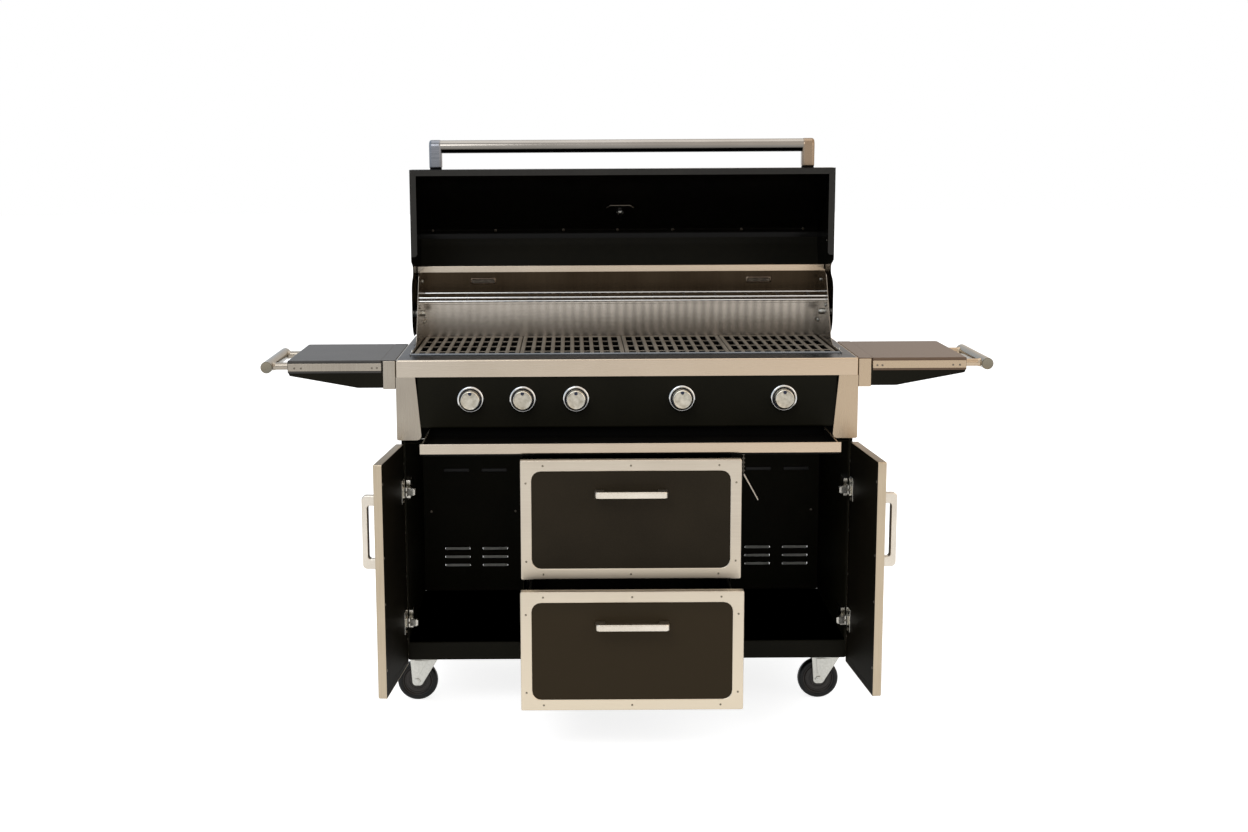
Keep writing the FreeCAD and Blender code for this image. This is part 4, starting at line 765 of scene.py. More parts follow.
# ----------------------------------------------------------------------------------------------
# Side shelves
# ----------------------------------------------------------------------------------------------
def shelf_top(mesh, side, end):
    """Folded shelf sheet with its inner face, and the flange that reaches the worktop."""
    low, high = mm("side_shelves")
    wall = size("wall")
    x = pair(side, HALF_TOP + 31.6, end)
    frame_sheet(mesh, [((0,) * 4, low.z, 6), ((0,) * 4, high.z - 4, 6),
                       ((0.5,) * 4, high.z - 1.8, 6), ((1.8,) * 4, high.z - 0.5, 5),
                       ((4,) * 4, high.z, 4)], (*x, low.y, high.y), cyclic=False)
    mesh.faces.new([v for v in mesh.verts if v.co.z > high.z - 0.01])
    inner = bmesh.ops.duplicate(mesh, geom=list(mesh.faces))["geom"]
    middle = ((x[0] + x[1]) / 2, (low.y + high.y) / 2)
    reach = (x[1] - x[0], high.y - low.y)
    for v in inner:
        if isinstance(v, bmesh.types.BMVert):
            for axis in (0, 1):
                v.co[axis] = middle[axis] + (v.co[axis] - middle[axis]) * (
                    1 - 2 * wall / reach[axis])
            v.co.z = max(low.z, v.co.z - wall) if v.co.z > low.z + 0.1 else low.z
    bmesh.ops.reverse_faces(mesh, faces=[f for f in inner if isinstance(f, bmesh.types.BMFace)])
    bmesh.ops.bridge_loops(mesh, edges=[e for e in mesh.edges if len(e.link_faces) == 1])
    slab(mesh, rectangle(*pair(side, HALF_TOP + 0.5, HALF_TOP + 33), low.y, high.y, 2), "z",
         high.z - 1.3, high.z)


def build_shelves():
    """Folded shelves with their steel strip, end block, brackets and tube handle."""
    handle_low, handle_high = mm("shelf_handles")
    level, length = (handle_low.z + handle_high.z) / 2, handle_high.y - handle_low.y
    outer = mm("side_shelves")[1].x
    end = outer + size("shelf_extra")
    spot = outer + 58                             # middle of the tube handle
    joint = HALF_TOP + 30.5                       # where the end block meets the brackets
    web = rounded([(joint, SURFACE - 66), (HALF_TOP + 90, SURFACE - 66, 26),
                   (end - 3, SURFACE - 36, 6), (end - 3, SURFACE - 17), (joint, SURFACE - 17)])
    tube = [(0, 0.6), (9.5, 0.5), (11.6, 0.1), (12.6, 0), (12.9, 0.9), (13.6, 0.9), (14, 1.6)]
    tube += [(radius, length - along) for radius, along in reversed(tube)]
    screws = []
    for side, name in SIDES.items():
        piece(f"side_shelf_top_{name}", shaped(shelf_top, side, end), "cart",
              "shelf", ["side_shelves"], smooth=40)
        strip = rectangle(*pair(side, HALF_TOP + 33.6, end - 2), SURFACE - 25, SURFACE - 7, 1.6)
        piece(f"shelf_strip_{name}", shaped(slab, strip, "y", FACE - 1.2, FACE + 0.1), "cart",
              "upright", soften=0.45)
        for inward in (15, 31, end - HALF_TOP - 58, end - HALF_TOP - 46):
            screws.append(((side * (end - 2 - inward), FACE - 1.2, SURFACE - 18), FRONT, 0.62))
        # end block: a folded steel channel beside the worktop
        channel = shaped(block, pair(side, HALF_TOP + 0.4, joint), (FACE, FACE + 350),
                         (mm("shelf_trims")[0].z, SURFACE - 1.5), 2.5)
        piece(f"shelf_block_{name}", channel, "cart", "upright",
              ["shelf_trims"], soften=1.2)
        # brackets: tapered webs under the front and rear edges
        for row, y in (("front", FACE + 1.4), ("rear", FACE + 346)):
            piece(f"shelf_bracket_{row}_{name}",
                  shaped(slab, [(u * side, v) for u, v in web], "y", y, y + 2.4), "cart",
                  "paint", ["shelf_brackets"], soften=0.6)
        # tube handle with pressed end plugs, on two arms with collars
        place = Matrix.Translation((spot * side, handle_low.y, level))
        piece(f"shelf_handle_tube_{name}", shaped(lathe, tube, place, 40), "cart",
              "rail", ["shelf_handles"], smooth=50)
        arms, collars = bmesh.new(), bmesh.new()
        turn = Matrix.Rotation(-side * QUARTER, 4, "Z")
        for y in (FACE + 38, FACE + 268):
            pipe(arms, [(side * (end - 4), y, level), (side * (spot - 10), y, level)],
                 size("shelf_arm_radius"), 24)
            for x, profile in ((end, [(0, 0), (13, 0), (13, 2), (11, 3.5), (9.5, 4), (0, 4)]),
                               (spot - 18, [(0, 0), (9.2, 0), (9.8, 3), (10.6, 7), (0, 7)])):
                lathe(collars, profile, Matrix.Translation((side * x, y, level)) @ turn, 28)
        piece(f"shelf_handle_arms_{name}", arms, "cart", "upright",
              smooth=50)
        piece(f"shelf_handle_collars_{name}", collars, "cart", "upright",
              smooth=40)
    copies("shelf_screws", screw_shape(), screws, "cart", "fixing")


# ----------------------------------------------------------------------------------------------
# Hood: (y, z) outlines as it lies closed, measured from its pivot
# ----------------------------------------------------------------------------------------------
SKIN_LINE = [(-370, -58), (-370, 35, 45), (-202, 248, 30), (-168, 248, 60), (118, 132)]
CAP_LINE = [(-370, -58), (-136.9, -58, 10), (-111.9, 16, 15), (-80, -60, 34), (58, -60, 54),
            (58, 119), (116, 132), (-168, 248, 60), (-202, 248, 30), (-370, 35, 45)]
CAP_OUT = HALF_TOP - 9
MOUTH = -58                                       # level of the hood's mouth


def inset_line(line, distance):
    """A line of points moved sideways by distance, at every point square to its neighbours."""
    moved = []
    for i, here in enumerate(line):
        before = (here - line[i - 1]).normalized() if i else (line[1] - here).normalized()
        after = (line[i + 1] - here).normalized() if i + 1 < len(line) else before
        along = (before + after).normalized()
        square = Vector((along.y, -along.x))
        moved.append(here + square * (distance / max(0.5, along.dot(before))))
    return moved


def build_hood():
    """Hood, raised: a folded skin, end caps with a turned-in rim, and the fixings inside."""
    wall = size("wall")
    half = CAP_OUT - wall
    outer = rounded(SKIN_LINE, closed=False, step=9)
    inner = inset_line(outer, wall)[::-1]
    section = [(-354, MOUTH), *outer, *inner[:-1], (-368.8, MOUTH + wall), (-354, MOUTH + wall)]
    skin = piece("hood_skin",
                 shaped(along_x, section, (-half, -half * 0.5, 0, half * 0.5, half)), "hood",
                 "enamel", ["hood_shell"], HOOD_UP, soften=0.4, smooth=25,
                 segments=2)
    skin.data.materials.append(dressed("band"))
    for face in skin.data.polygons:
        face.material_index = int(face.center.z * 1000 < PIVOT.z + 176)

    # turned-in rim along the straight part of the mouth, mitred at the front corners
    lip = CAP_OUT - 16
    rim = [(half, -368.8), (half, -150), (lip + 4, -150), (lip, -156), (lip, -354)]
    for side, name in SIDES.items():
        piece(f"hood_cap_{name}",
              shaped(slab, rounded(CAP_LINE, step=9), "x", *pair(side, half, CAP_OUT)), "hood",
              "enamel", ["hood_end_caps"], HOOD_UP, soften=0.4, smooth=25,
              segments=2)
        piece(f"hood_rim_{name}",
              shaped(slab, [(x * side, y) for x, y in rim], "z", MOUTH - 0.2, MOUTH + 1.2),
              "hood", "rim", (), HOOD_UP, soften=0.3, segments=2)
    front = [(-half, -368.9), (half, -368.9), (lip, -354.2), (-lip, -354.2)]
    piece("hood_rim_front", shaped(slab, front, "z", MOUTH - 0.4, MOUTH + 0.6), "hood",
          "rim", (), HOOD_UP, soften=0.3, segments=2)

    inside = [((x, -202, 242.6), (0, 0.507, -0.861), 1.1)
              for x in (-508, -337, -152, -5, 145, 332, 500)]
    for side in SIDES:
        for y, z in ((-330, -20), (-262, 20), (-180, 60), (-90, 90)):
            inside.append(((side * (CAP_OUT - 1.6), y, z), (-side, 0, 0), 0.9))
        for y, z in ((-345, 0), (-235, 150), (-120, 196), (20, 140)):
            inside.append(((side * (CAP_OUT + 0.1), y, z), (side, 0, 0), 0.9))
    spots = [(HOOD_UP @ Vector(p), HOOD_UP.to_3x3() @ Vector(f), s) for p, f, s in inside]
    copies("hood_screws", screw_shape(), spots, "hood", "fixing")


def build_hood_handle():
    """Polished tube between two cast posts with rounded heads."""
    low, high = mm("hood_handle")
    y, wide, half = PIVOT.y + 8, size("hood_tube_radius"), high.x - 16
    profile = [(0, -half), *((wide, half * part) for part in (-1, -0.5, 0, 0.5, 1)), (0, half)]
    place = Matrix.Translation((0, y, HANDLE_LEVEL)) @ Matrix.Rotation(-QUARTER, 4, "Z")
    piece("hood_handle_tube", shaped(lathe, profile, place, 56), "hood",
          "tube", ["hood_handle"], smooth=50)
    base, head = low.z + 0.3, wide + 1            # the posts' heads close round the tube
    outline = [(low.y, base)]
    outline += [(head * math.cos(a) + y, head * math.sin(a) + HANDLE_LEVEL)
                for a in (math.pi - math.pi * k / 20 for k in range(21))]
    outline.append((high.y, base))
    for side, name in SIDES.items():
        piece(f"hood_handle_post_{name}",
              shaped(slab, outline, "x", *pair(side, high.x - 32, high.x)), "hood",
              "post", soften=6.5, segments=5)
        gasket = shaped(block, pair(side, high.x - 30.5, high.x - 1.5),
                        (low.y + 1.5, high.y - 1.5), (low.z + 0.05, low.z + 3.5), 3)
        piece(f"hood_handle_gasket_{name}", gasket, "hood", "dark", soften=0.4)


def build_thermometer():
    """Dial on the hood's slope: chrome case, printed card and ticks, needle, nut and clip."""
    brow, band = Vector(SKIN_LINE[2][:2]), Vector(SKIN_LINE[1][:2])
    spot = band + (brow - band) * 0.69
    tilt = math.atan2(brow.y - band.y, brow.x - band.x) - QUARTER
    place = HOOD_UP @ Matrix.Translation((0, spot.x, spot.y)) @ Matrix.Rotation(tilt, 4, "X")

    def mark(mesh, degrees, depths, *corners):
        """A thin mark on the card: corners are (out from the middle, across) at an angle."""
        c, s = math.cos(math.radians(degrees)), math.sin(math.radians(degrees))
        loft(mesh, [[place @ Vector((c * r - s * w, depth, s * r + c * w)) for r, w in corners]
                    for depth in depths], fill=True)

    case = [(0, 0), (36.8, 0), (38, -2), (38, -12), (37.2, -14.6), (35.4, -16), (33.6, -15.2),
            (33, -12.6), (0, -12.6)]
    piece("thermometer_case", shaped(lathe, case, place, 64), "hood", "chrome",
          ["thermometer"], smooth=50)
    card = [(0, -13.2), (32.6, -13.2), (32.8, -12.7), (0, -12.7)]
    piece("thermometer_card", shaped(lathe, card, place, 48), "hood", "dial")
    ticks = bmesh.new()
    for k in range(31):
        long, wide = (6, 0.55) if k % 5 == 0 else (3, 0.3)
        mark(ticks, 225 - k * 9, (-13.25, -13.45), (30.5 - long, -wide), (30.5, -wide),
             (30.5, wide), (30.5 - long, wide))
    piece("thermometer_ticks", ticks, "hood", "dark")
    needle = shaped(mark, 215, (-13.9, -14.3), (-7, -1.4), (26, -0.4), (26, 0.4), (-7, 1.4))
    lathe(needle, [(0, -13.3), (2.6, -13.3), (2.6, -14.6), (1.9, -15.1), (0, -15.2)], place, 20)
    piece("thermometer_needle", needle, "hood", "needle")
    probe = [(0, -2), (4, -2), (4, 14), (3, 16), (3, 27), (2, 30), (0, 30)]
    piece("thermometer_probe", shaped(lathe, probe, place, 20), "hood",
          "dark", smooth=40)
    facing = (place.to_3x3() @ Vector(BACK)).normalized()
    copies("thermometer_nut", nut_shape(17, 6, 4.2, 1.5),
           [(place @ Vector((0, 1.4, 0)), facing, 1.0)], "hood", "zinc")
    clip = [(-36, 0.5, -20), (-36, 7, -24), (-27, 6, -34), (27, 6, -34), (36, 7, -24),
            (36, 0.5, -20)]
    wires("thermometer_clip", [[place @ Vector(p) for p in clip]], 1.5, "hood",
          "fixing", bend_at=4)


# ----------------------------------------------------------------------------------------------
# Firebox
# ----------------------------------------------------------------------------------------------
def build_firebox():
    """Rear trims with their folds, pressed louvre hoods, pivot washers and side bolts."""
    low, high = mm("rear_trims")
    near, foot, wall = low.y + 13.4, high.z - 17, size("wall")
    section = rounded([(low.y + 14, foot), (near, high.z - 2, 3), (near, high.z, 2.5),
                       (high.y, high.z, 2.5), (high.y, foot), (high.y - wall, foot),
                       (high.y - wall, high.z - wall), (low.y + 15.2, high.z - wall),
                       (low.y + 15.2, foot)])
    piece("rear_wall_strip", shaped(along_x, section, (-high.x, high.x)), "cart",
          "sheet", ["rear_trims"], soften=0.3)
    # liner: a steel sheet rolled over at its top, with the ledge that carries the grates
    back, top, ledge = high.y - 2.4, 951, 845.8
    section = rounded([(back, top, 2), (back - 3.4, top, 1.6), (back - 3.4, top - 7, 0.8),
                       (back - 2.4, top - 7, 0.8), (back - 1.2, top - 4), (back - 1.2, ledge, 3),
                       (back - 15.4, ledge, 1), (back - 15.4, ledge - 1), (back, ledge - 1)])
    piece("rear_liner", shaped(along_x, section, (-FIREBOX, FIREBOX)), "cart",
          "liner", soften=0.3)
    # louvres: a pressed eyelid with three blades in each slot; bolts and pivot washers
    face = mm("rear_wall")[1].y - 1.2
    blades, lids, bolts = [], [], []
    for side in SIDES:
        x = side * 365.3
        blades += [((x, face - 0.6, level), (0, -0.8, 0.6), 1.0)
                   for level in (1002.4, 1006.2, 1009.8)]
        lids.append(((x, face - 0.2, 1006), FRONT, 1.0))
        for y, z in ((PIVOT.y - 62, 952), (PIVOT.y + 40, 1010), (back - 20, 900),
                     (FACE + 120, 866)):
            bolts.append(((side * 521.4, y, z), (-side, 0, 0), 1.25))
        bolts.append(((side * 515.6, PIVOT.y, PIVOT.z), (-side, 0, 0), 1.9))
    blade = shaped(slab, rectangle(-30, 30, -1.6, 1.6, 0.7, 2), "z", -0.4, 0.4)
    copies("louvre_blades", blade, blades, "cart", "liner")
    lid = shaped(frame_sheet, [(-3.2, 0, 6), (-1.4, 1.7, 5), (0, 1.9, 4), (0.6, 0.4, 4),
                               (0.6, -1.0, 4), (-3.2, -0.4, 6)], (-31, 31, -5.6, 5.6))
    copies("louvre_rims", lid, lids, "cart", "burner")
    copies("firebox_bolts", screw_shape(), bolts, "cart", "zinc")


def build_grates():
    """Four cast grates: crowned bars between cross ribs inside a rounded border."""
    low, high = mm("cooking_grates")
    span, gap, border = 521.8, 4, 5.5
    depth, width = high.y - low.y, (span * 2 - gap * 5) / 4
    count = int((width - 2 * border) // size("grate_bar_spacing"))
    pitch = (width - 2 * border) / count
    bars, ribs, borders = [], [], []
    for i in range(4):
        left = -span + gap + (width + gap) * i
        x, y = left + width / 2, (low.y + high.y) / 2
        bars += [((left + border + pitch * k, y, low.z), UP, 1.0) for k in range(1, count)]
        ribs += [((x, low.y + 5 + (depth - 10) * k / 4, low.z), UP, 1.0) for k in range(1, 4)]
        borders.append(((x, y, low.z), UP, 1.0))
    section = [(-3.6, 0.4), (3.6, 0.4), (5.5, 7), (4.6, 10.6), (2.2, 11.8), (-2.2, 11.8),
               (-4.6, 10.6), (-5.5, 7)]
    bar = shaped(loft, [[(x, y, z) for x, z in section] for y in (6 - depth / 2, depth / 2 - 6)],
                 fill=True)
    copies("grate_bars", bar, bars, "cart", "iron", ["cooking_grates"], smooth=50)
    section = [(-4.5, 0.4), (4.5, 0.4), (5.2, 7), (4.2, 10.4), (2, 11.3), (-2, 11.3),
               (-4.2, 10.4), (-5.2, 7)]
    rib = shaped(along_x, section, (6 - width / 2, width / 2 - 6))
    copies("grate_ribs", rib, ribs, "cart", "iron", smooth=50)
    edge = shaped(frame_sheet, [(1.4, 0.2, 5), (0, 1.4, 6), (0, 9.8, 6), (1.6, 11.7, 5),
                                (4, 12, 4), (8.6, 11.6, 3), (11, 9.6, 3), (10, 0.2, 3)],
                  (-width / 2 - 1.4, width / 2 + 1.4, -depth / 2, depth / 2))
    copies("grate_borders", edge, borders, "cart", "iron", smooth=50)


def build_rack():
    """Warming rack: long wires over bent cross wires."""
    low, high = mm("warming_rack")
    wire = size("rack_wire_radius")
    front, rear = low.y + wire, high.y - wire
    lower, top = low.z + wire, high.z - wire
    upper = lower + 9
    long = [[(-FIREBOX, y, z), (FIREBOX, y, z)]
            for y, z in ((rear, top), (front, upper), (front, lower))]
    wires("warming_rack_long_wires", long, wire, "cart", "chrome", sides=14,
          replaces=["warming_rack"])
    level = (upper + top) / 2
    cross = [[(x, rear, level), (x, front, level), (x, front, lower)]
             for x in (FIREBOX / 6.5 * k for k in range(-6, 7))]
    wires("warming_rack_cross_wires", cross, size("rack_cross_radius"), "cart",
          "soot", bend_at=2, sides=8)


# ----------------------------------------------------------------------------------------------
# Cabinet
# ----------------------------------------------------------------------------------------------
def build_cabinet():
    """Base lip, vent rims and blades, front lips and the cabinet's own screws."""
    low, high = mm("base_shelf")

    def near(deep):
        return (deep * 0.25, deep * 0.25, deep, deep * 0.25)

    profile = [(near(5), low.z + 0.1, 4), (0, low.z + 0.1, 5), (0, high.z - 4, 5),
               (near(0.6), high.z - 1.6, 5), (near(2), high.z - 0.4, 5), (near(4), high.z, 4),
               (near(30), high.z, 3)]
    pan = shaped(frame_sheet, profile, (low.x, high.x, low.y, high.y), cyclic=False)
    pan.faces.new([v for v in pan.verts if v.co.z > high.z - 0.01])
    piece("base_pan", pan, "cart", "paint", ["base_shelf"], wall=size("wall"),
          smooth=40, sheet=True)

    front, back = (corner.y for corner in mm("back_panel"))
    rims, blades, pressed, screws = [], [], [], []
    for side in SIDES:
        for column in (-1, 1):
            # the right bay's slots stand further out
            x = side * 393 + max(side, 0) * 28 + column * 51
            for row in (-1, 0, 1):
                z = 258 + row * size("vent_spacing")
                rims.append(((x, front - 0.1, z), FRONT, 1.0))
                rims.append(((x, back + 0.1, z), BACK, 1.0))
                blades.append(((x, back + 1.5, z), (0, -0.95, 0.31), 1.0))
            pressed.append(((x, front - 0.1, 498), FRONT, 1.0))
            screws.append(((side * 400 + column * 114, front - 0.1, 384), FRONT, 0.9))
            screws += [((x + column * 20, back, z), BACK, 1.0) for z in (690, 182)]
    for level in (180, 300, 420, 540, 650):
        for side in SIDES:
            screws += [((side * 535, FACE + y, level), (side, 0, 0), 0.9) for y in (60, 470)]
    rim = shaped(frame_sheet, [(-1.8, 0, 4.5), (-0.9, 0.9, 4), (0, 0.9, 3.4), (0.1, -0.3, 3.4),
                               (-1.8, -0.2, 4.5)], (-34, 34, -4, 4))
    copies("vent_rims", rim, rims, "cart", "paint")
    # light grey blades behind the slots: painted light for the light seen through the vents
    blade = shaped(slab, rectangle(-33, 33, -4, 4, 1, 2), "z", -0.4, 0.4)
    copies("vent_blades", blade, blades, "cart", "vent")
    boss = shaped(frame_sheet, [(-1.2, 0, 4.5), (0, 1.4, 3.4), (1.6, 1.8, 1.8)],
                  (-34, 34, -4, 4), fill=True)
    # the embossed slots take the lighter rim enamel: a painted highlight
    copies("embossed_slots", boss, pressed, "cart", "rim")
    copies("cabinet_screws", screw_shape(), screws, "cart", "fixing")
    # folded lips on the cabinet's sides and the seals that close the gap to the doors
    lips = bmesh.new()
    for side in SIDES:
        for x, y in (((531.4, 535), (10.4, 12.2)), ((534.8, 541), (12.9, 14.1))):
            slab(lips, rectangle(*pair(side, *x), 122, 700, 0.8), "y", FACE + y[0], FACE + y[1])
    piece("cabinet_front_lips", lips, "cart", "paint", soften=0.4)


def build_match_holder():
    """Lighting-match holder: a fine chain and the rod that hangs from it."""
    x, y, top = 281, FACE + 20, mm("match_holder")[1].z
    links = [((x, y, top - 2.5 - k * 5), (1, 0, 0) if k % 2 else BACK, 1.0) for k in range(16)]
    link = shaped(frame_sheet, [(0, 0.5, 1.4), (0.9, 0.5, 0.8), (0.9, -0.5, 0.8),
                                (0, -0.5, 1.4)], (-1.6, 1.6, -3.4, 3.4))
    link.transform(Matrix.Rotation(QUARTER, 4, "Z"))
    copies("match_chain", link, links, "cart", "fixing")
    angle = math.radians(-29)
    along = Vector((-math.sin(angle), 0, -math.cos(angle)))
    turn = Vector(BACK).rotation_difference(along).to_matrix().to_4x4()
    rod = [(0, 0), (2.4, 0.4), (3, 1.4), (3, 60), (2.4, 61), (2.4, 64), (3, 65), (3, 72),
           (2, 74), (0, 74)]
    place = Matrix.Translation((x, y, top - 80)) @ turn
    piece("match_rod", shaped(lathe, rod, place, 20), "cart", "grip",
          ["match_holder"], smooth=40)


# ----------------------------------------------------------------------------------------------
# Doors, drawers and tray
# ----------------------------------------------------------------------------------------------
def window_front(mesh, rect, front, back):
    """A folded steel front with a rounded window; its face looks towards -Y."""
    hole, corner = size("window_border"), size("window_corner")
    profile = [(1.2, back, 2), (0, back, 3), (0, front + 3, 3.4), (0.5, front + 1.2, 3.4),
               (1.3, front + 0.35, 3), (2.8, front, 2.5), (hole - 2.2, front, corner + 2.2),
               (hole - 0.8, front + 0.3, corner + 0.8), (hole, front + 1.2, corner),
               (hole, front + 2.2, corner), (hole - 1.6, front + 2.2, corner + 1.6),
               (4, front + 1.5, 2), (1.2, front + 4, 2)]
    frame_sheet(mesh, profile, rect, "y")


def pull_shape(mesh, length, post, wide):
    """A D-shaped cast handle off Y = 0 towards -Y, its length along X and width along Z."""
    half, bar, reach = length / 2, 14, size("pull_reach")
    outline = rounded([(half - post, 0), (half, 0), (half, -reach, 10), (-half, -reach, 10),
                       (-half, 0), (post - half, 0), (post - half, bar - reach, 6),
                       (half - post, bar - reach, 6)], step=12)
    slab(mesh, outline, "z", -wide / 2, wide / 2)


def build_drawers():
    """Drawer fronts: folded frame, black panel behind its window, handle, box and slides."""
    for name in ("upper", "lower"):
        body = f"{name}_drawer"
        low, high = mm(f"{body}_frame")
        rect, front, back = (low.x, high.x, low.z, high.z), low.y, high.y
        piece(f"{body}_front_frame", shaped(window_front, rect, front, back), body,
              "front", [f"{body}_frame"], smooth=40)
        panel = [(1.4, back - 0.1, 2), (1.4, front + 4.4, 2), (3, front + 3, 3),
                 (24, front + 2.4, 20), (40, front + 2.3, 12)]
        piece(f"{body}_front_panel", shaped(frame_sheet, panel, rect, "y", fill=True), body,
              "panel", [f"{body}_panel"], smooth=25)
        grip_low, grip_high = mm(f"{body}_handle")
        place = Matrix.Translation((0, front - 0.1, (grip_low.z + grip_high.z) / 2 + 7))
        piece(f"{body}_pull", shaped(pull_shape, size("drawer_pull_length"), 22, 15), body,
              "grip", [f"{body}_handle"], place, soften=2.6, segments=4)
        # box: folded sheet with rolled upper edges
        box_low, box_high = mm(f"{body}_box")
        foot, top = box_low.z, box_high.z
        tub = [(6, foot, 3), (2, foot + 0.3, 4), (0.5, foot + 1.6, 4), (0, foot + 4, 4),
               (0, top - 1.4, 4), (0.6, top, 4), (5.4, top, 3), (6, top - 1.2, 3),
               (6, top - 7, 3), (4.8, top - 7, 3), (4.8, top - 2, 3), (1.2, top - 2, 3),
               (1.2, foot + 4, 3), (2.6, foot + 1.6, 3), (6, foot + 1.2, 3)]
        room = (box_low.x + 8, box_high.x - 8, box_low.y + 0.1, box_high.y)
        piece(f"{body}_tub", shaped(frame_sheet, tub, room, fill=True), body,
              "paint", [f"{body}_box"], smooth=40)
        runners = bmesh.new()
        for side in SIDES:
            x = pair(side, box_high.x - 8, box_high.x)
            slab(runners, rectangle(*x, foot + 57, foot + 75, 2), "y", box_low.y + 6,
                 box_high.y - 6)
        piece(f"{body}_runners", runners, body, "zinc", soften=0.6)
        spots = [(x, z) for x in (-198, 0, 198) for z in (low.z + 12.5, high.z - 12.5)]
        spots += [(x, z) for z in (low.z + 42, high.z - 52) for x in (-236.5, 236.5)]
        screws = [((x, front, z), FRONT, 0.6) for x, z in spots]
        copies(f"{body}_screws", screw_shape(), screws, body, "rail")


def door_place(side):
    """Matrix from the closed door, X to its free edge from its hinge, to its open place."""
    angle = math.radians({-1: 95, 1: 94}[side])
    spot = Vector(JOINTS[f"{SIDES[side]}_door_hinge"]["pos_m"]) * 1000
    return Matrix.Translation((spot.x, spot.y, 0)) @ Matrix.Rotation(side * angle, 4, "Z")


def build_doors():
    """Doors: folded skin with a windowed face, inner sheet, cast handle, concealed hinges."""
    for side in SIDES:
        body, place = f"{SIDES[side]}_door", door_place(side)
        low, high = mm(f"{body}_skin")
        middle = (low.z + high.z) / 2

        def across(a, b):
            return pair(-side, a, b)

        def fixed(u, y, z, facing, scale):
            """A screw at u from the hinge, on the closed door."""
            return (place @ Vector((-side * u, y, z)), place.to_3x3() @ Vector(facing), scale)

        rect = (*across(0, DOOR), low.z, high.z)
        piece(f"{body}_front_frame", shaped(window_front, rect, -20, -0.05), body,
              "edge", [f"{body}_skin"], place, smooth=40)
        panel = [(1.4, -4, 2), (1.4, -15.6, 2), (3, -17, 3), (24, -17.6, 20), (40, -17.7, 12)]
        piece(f"{body}_front_panel", shaped(frame_sheet, panel, rect, "y", fill=True), body,
              "panel", (), place, smooth=25)
        # inner sheet: dished edges, then a shallow stiffening step
        inner = [(1.3, -1.4, 2), (1.3, -0.5, 2), (2, 0, 2), (13, 0, 3), (14.2, -0.5, 4),
                 (15.4, -0.8, 5), (20, -0.8, 5)]
        piece(f"{body}_inner_sheet", shaped(frame_sheet, inner, rect, "y", fill=True), body,
              "inner", [f"{body}_liner"], place, smooth=25)
        grip_low, grip_high = mm(f"{body}_handle")
        spot = (-side * (DOOR - 52), -20.1, (grip_low.z + grip_high.z) / 2)
        stand = place @ Matrix.Translation(spot) @ Matrix.Rotation(QUARTER, 4, "Y")
        piece(f"{body}_pull", shaped(pull_shape, size("door_pull_length"), 24, 18), body,
              "grip", [f"{body}_handle"], stand, soften=2.8, segments=4)
        # concealed hinges: flanged cup on the door, cranked arm towards the cabinet
        cups, arms, screws = bmesh.new(), bmesh.new(), []
        for z in (low.z + 112, high.z - 112):
            slab(cups, rectangle(*across(4, 42), z - 30, z + 30, 7, 5), "y", -0.7, 1.4)
            lathe(cups, [(17.3, 1.5), (16.2, 2.1), (15.4, 1.4), (14.6, -6), (0, -8),
                         (0, -11.8), (16.4, -11.8), (17.3, -10.5), (17.3, 1.5)],
                  Matrix.Translation((-side * 23, 0, z)), 36)
            for x, y, tall in (((14, 31), (1, 11), 11), ((15.5, 30), (6, 28), 8.5),
                               ((17, 29), (26, 30.5), 7)):
                block(arms, across(*x), y, (z - tall, z + tall), 2)
            screws += [fixed(23, 1.4, z + dz, BACK, 0.9) for dz in (-24, 24)]
            screws.append(fixed(31, 9, z, (-side, 0, 0), 0.7))
        piece(f"{body}_hinge_cups", cups, body, "nickel", [f"{body}_hinges"],
              place, soften=0.5)
        piece(f"{body}_hinge_arms", arms, body, "nickel", (), place, soften=1.2)
        screws += [fixed(u, 0, z, BACK, 0.8)
                   for z in (low.z + 66, low.z + 222, low.z + 330, high.z - 46)
                   for u in (8, 273)]
        copies(f"{body}_screws", screw_shape(), screws, body, "fixing")
        outside = [fixed(u, -20, z, FRONT, 0.72)
                   for z in (low.z + 12.5, middle + 110, middle - 110, high.z - 12.5)
                   for u in (12.5, 268.5)]
        copies(f"{body}_face_screws", screw_shape(), outside, body, "fixing")


def build_tray():
    """Grease tray: steel front with a hem and a finger fold, black pan with rolled edges."""
    low, high = mm("tray_front")
    wall, lift = size("wall"), 5                  # the strip covers the gap under the panel
    foot, top = low.z + lift, high.z + lift
    section = rounded([(low.y, foot + 2, 1), (low.y, top, 1.6), (low.y + 2.2, top, 0.8),
                       (low.y + 2.2, top - 4), (low.y + wall, top - 4),
                       (low.y + wall, foot + wall), (high.y, foot + wall), (high.y, foot),
                       (low.y + wall, foot, 1)])
    strip = shaped(along_x, section, (low.x, low.x * 0.5, 0, high.x * 0.5, high.x))
    piece("tray_front_strip", strip, "grease_tray", "sheet", ["tray_front"],
          soften=0.3)
    low, high = mm("tray_pan")
    profile = [(8, low.z, 4), (2, low.z + 0.4, 5), (0.4, low.z + 2, 5), (0, low.z + 4.4, 5),
               (0, high.z - 1, 5), (0.6, high.z, 5), (2.4, high.z, 4), (3, high.z - 1, 4),
               (2.2, high.z - 3, 4), (1.3, low.z + 4.4, 4), (2.8, low.z + 1.8, 4),
               (8, low.z + 1.2, 4)]
    rect = (low.x, high.x, low.y, high.y)
    piece("tray_pan_sheet", shaped(frame_sheet, profile, rect, fill=True), "grease_tray",
          "pan", ["tray_pan"], smooth=40)
    hems = bmesh.new()
    for side in SIDES:
        x = pair(side, high.x - 3.4, high.x - 0.1)
        slab(hems, rectangle(*x, high.z - 1.2, high.z + 0.4, 0.5, 2), "y", low.y + 0.2,
             high.y - 2)
    piece("tray_side_hems", hems, "grease_tray", "sheet", smooth=50)


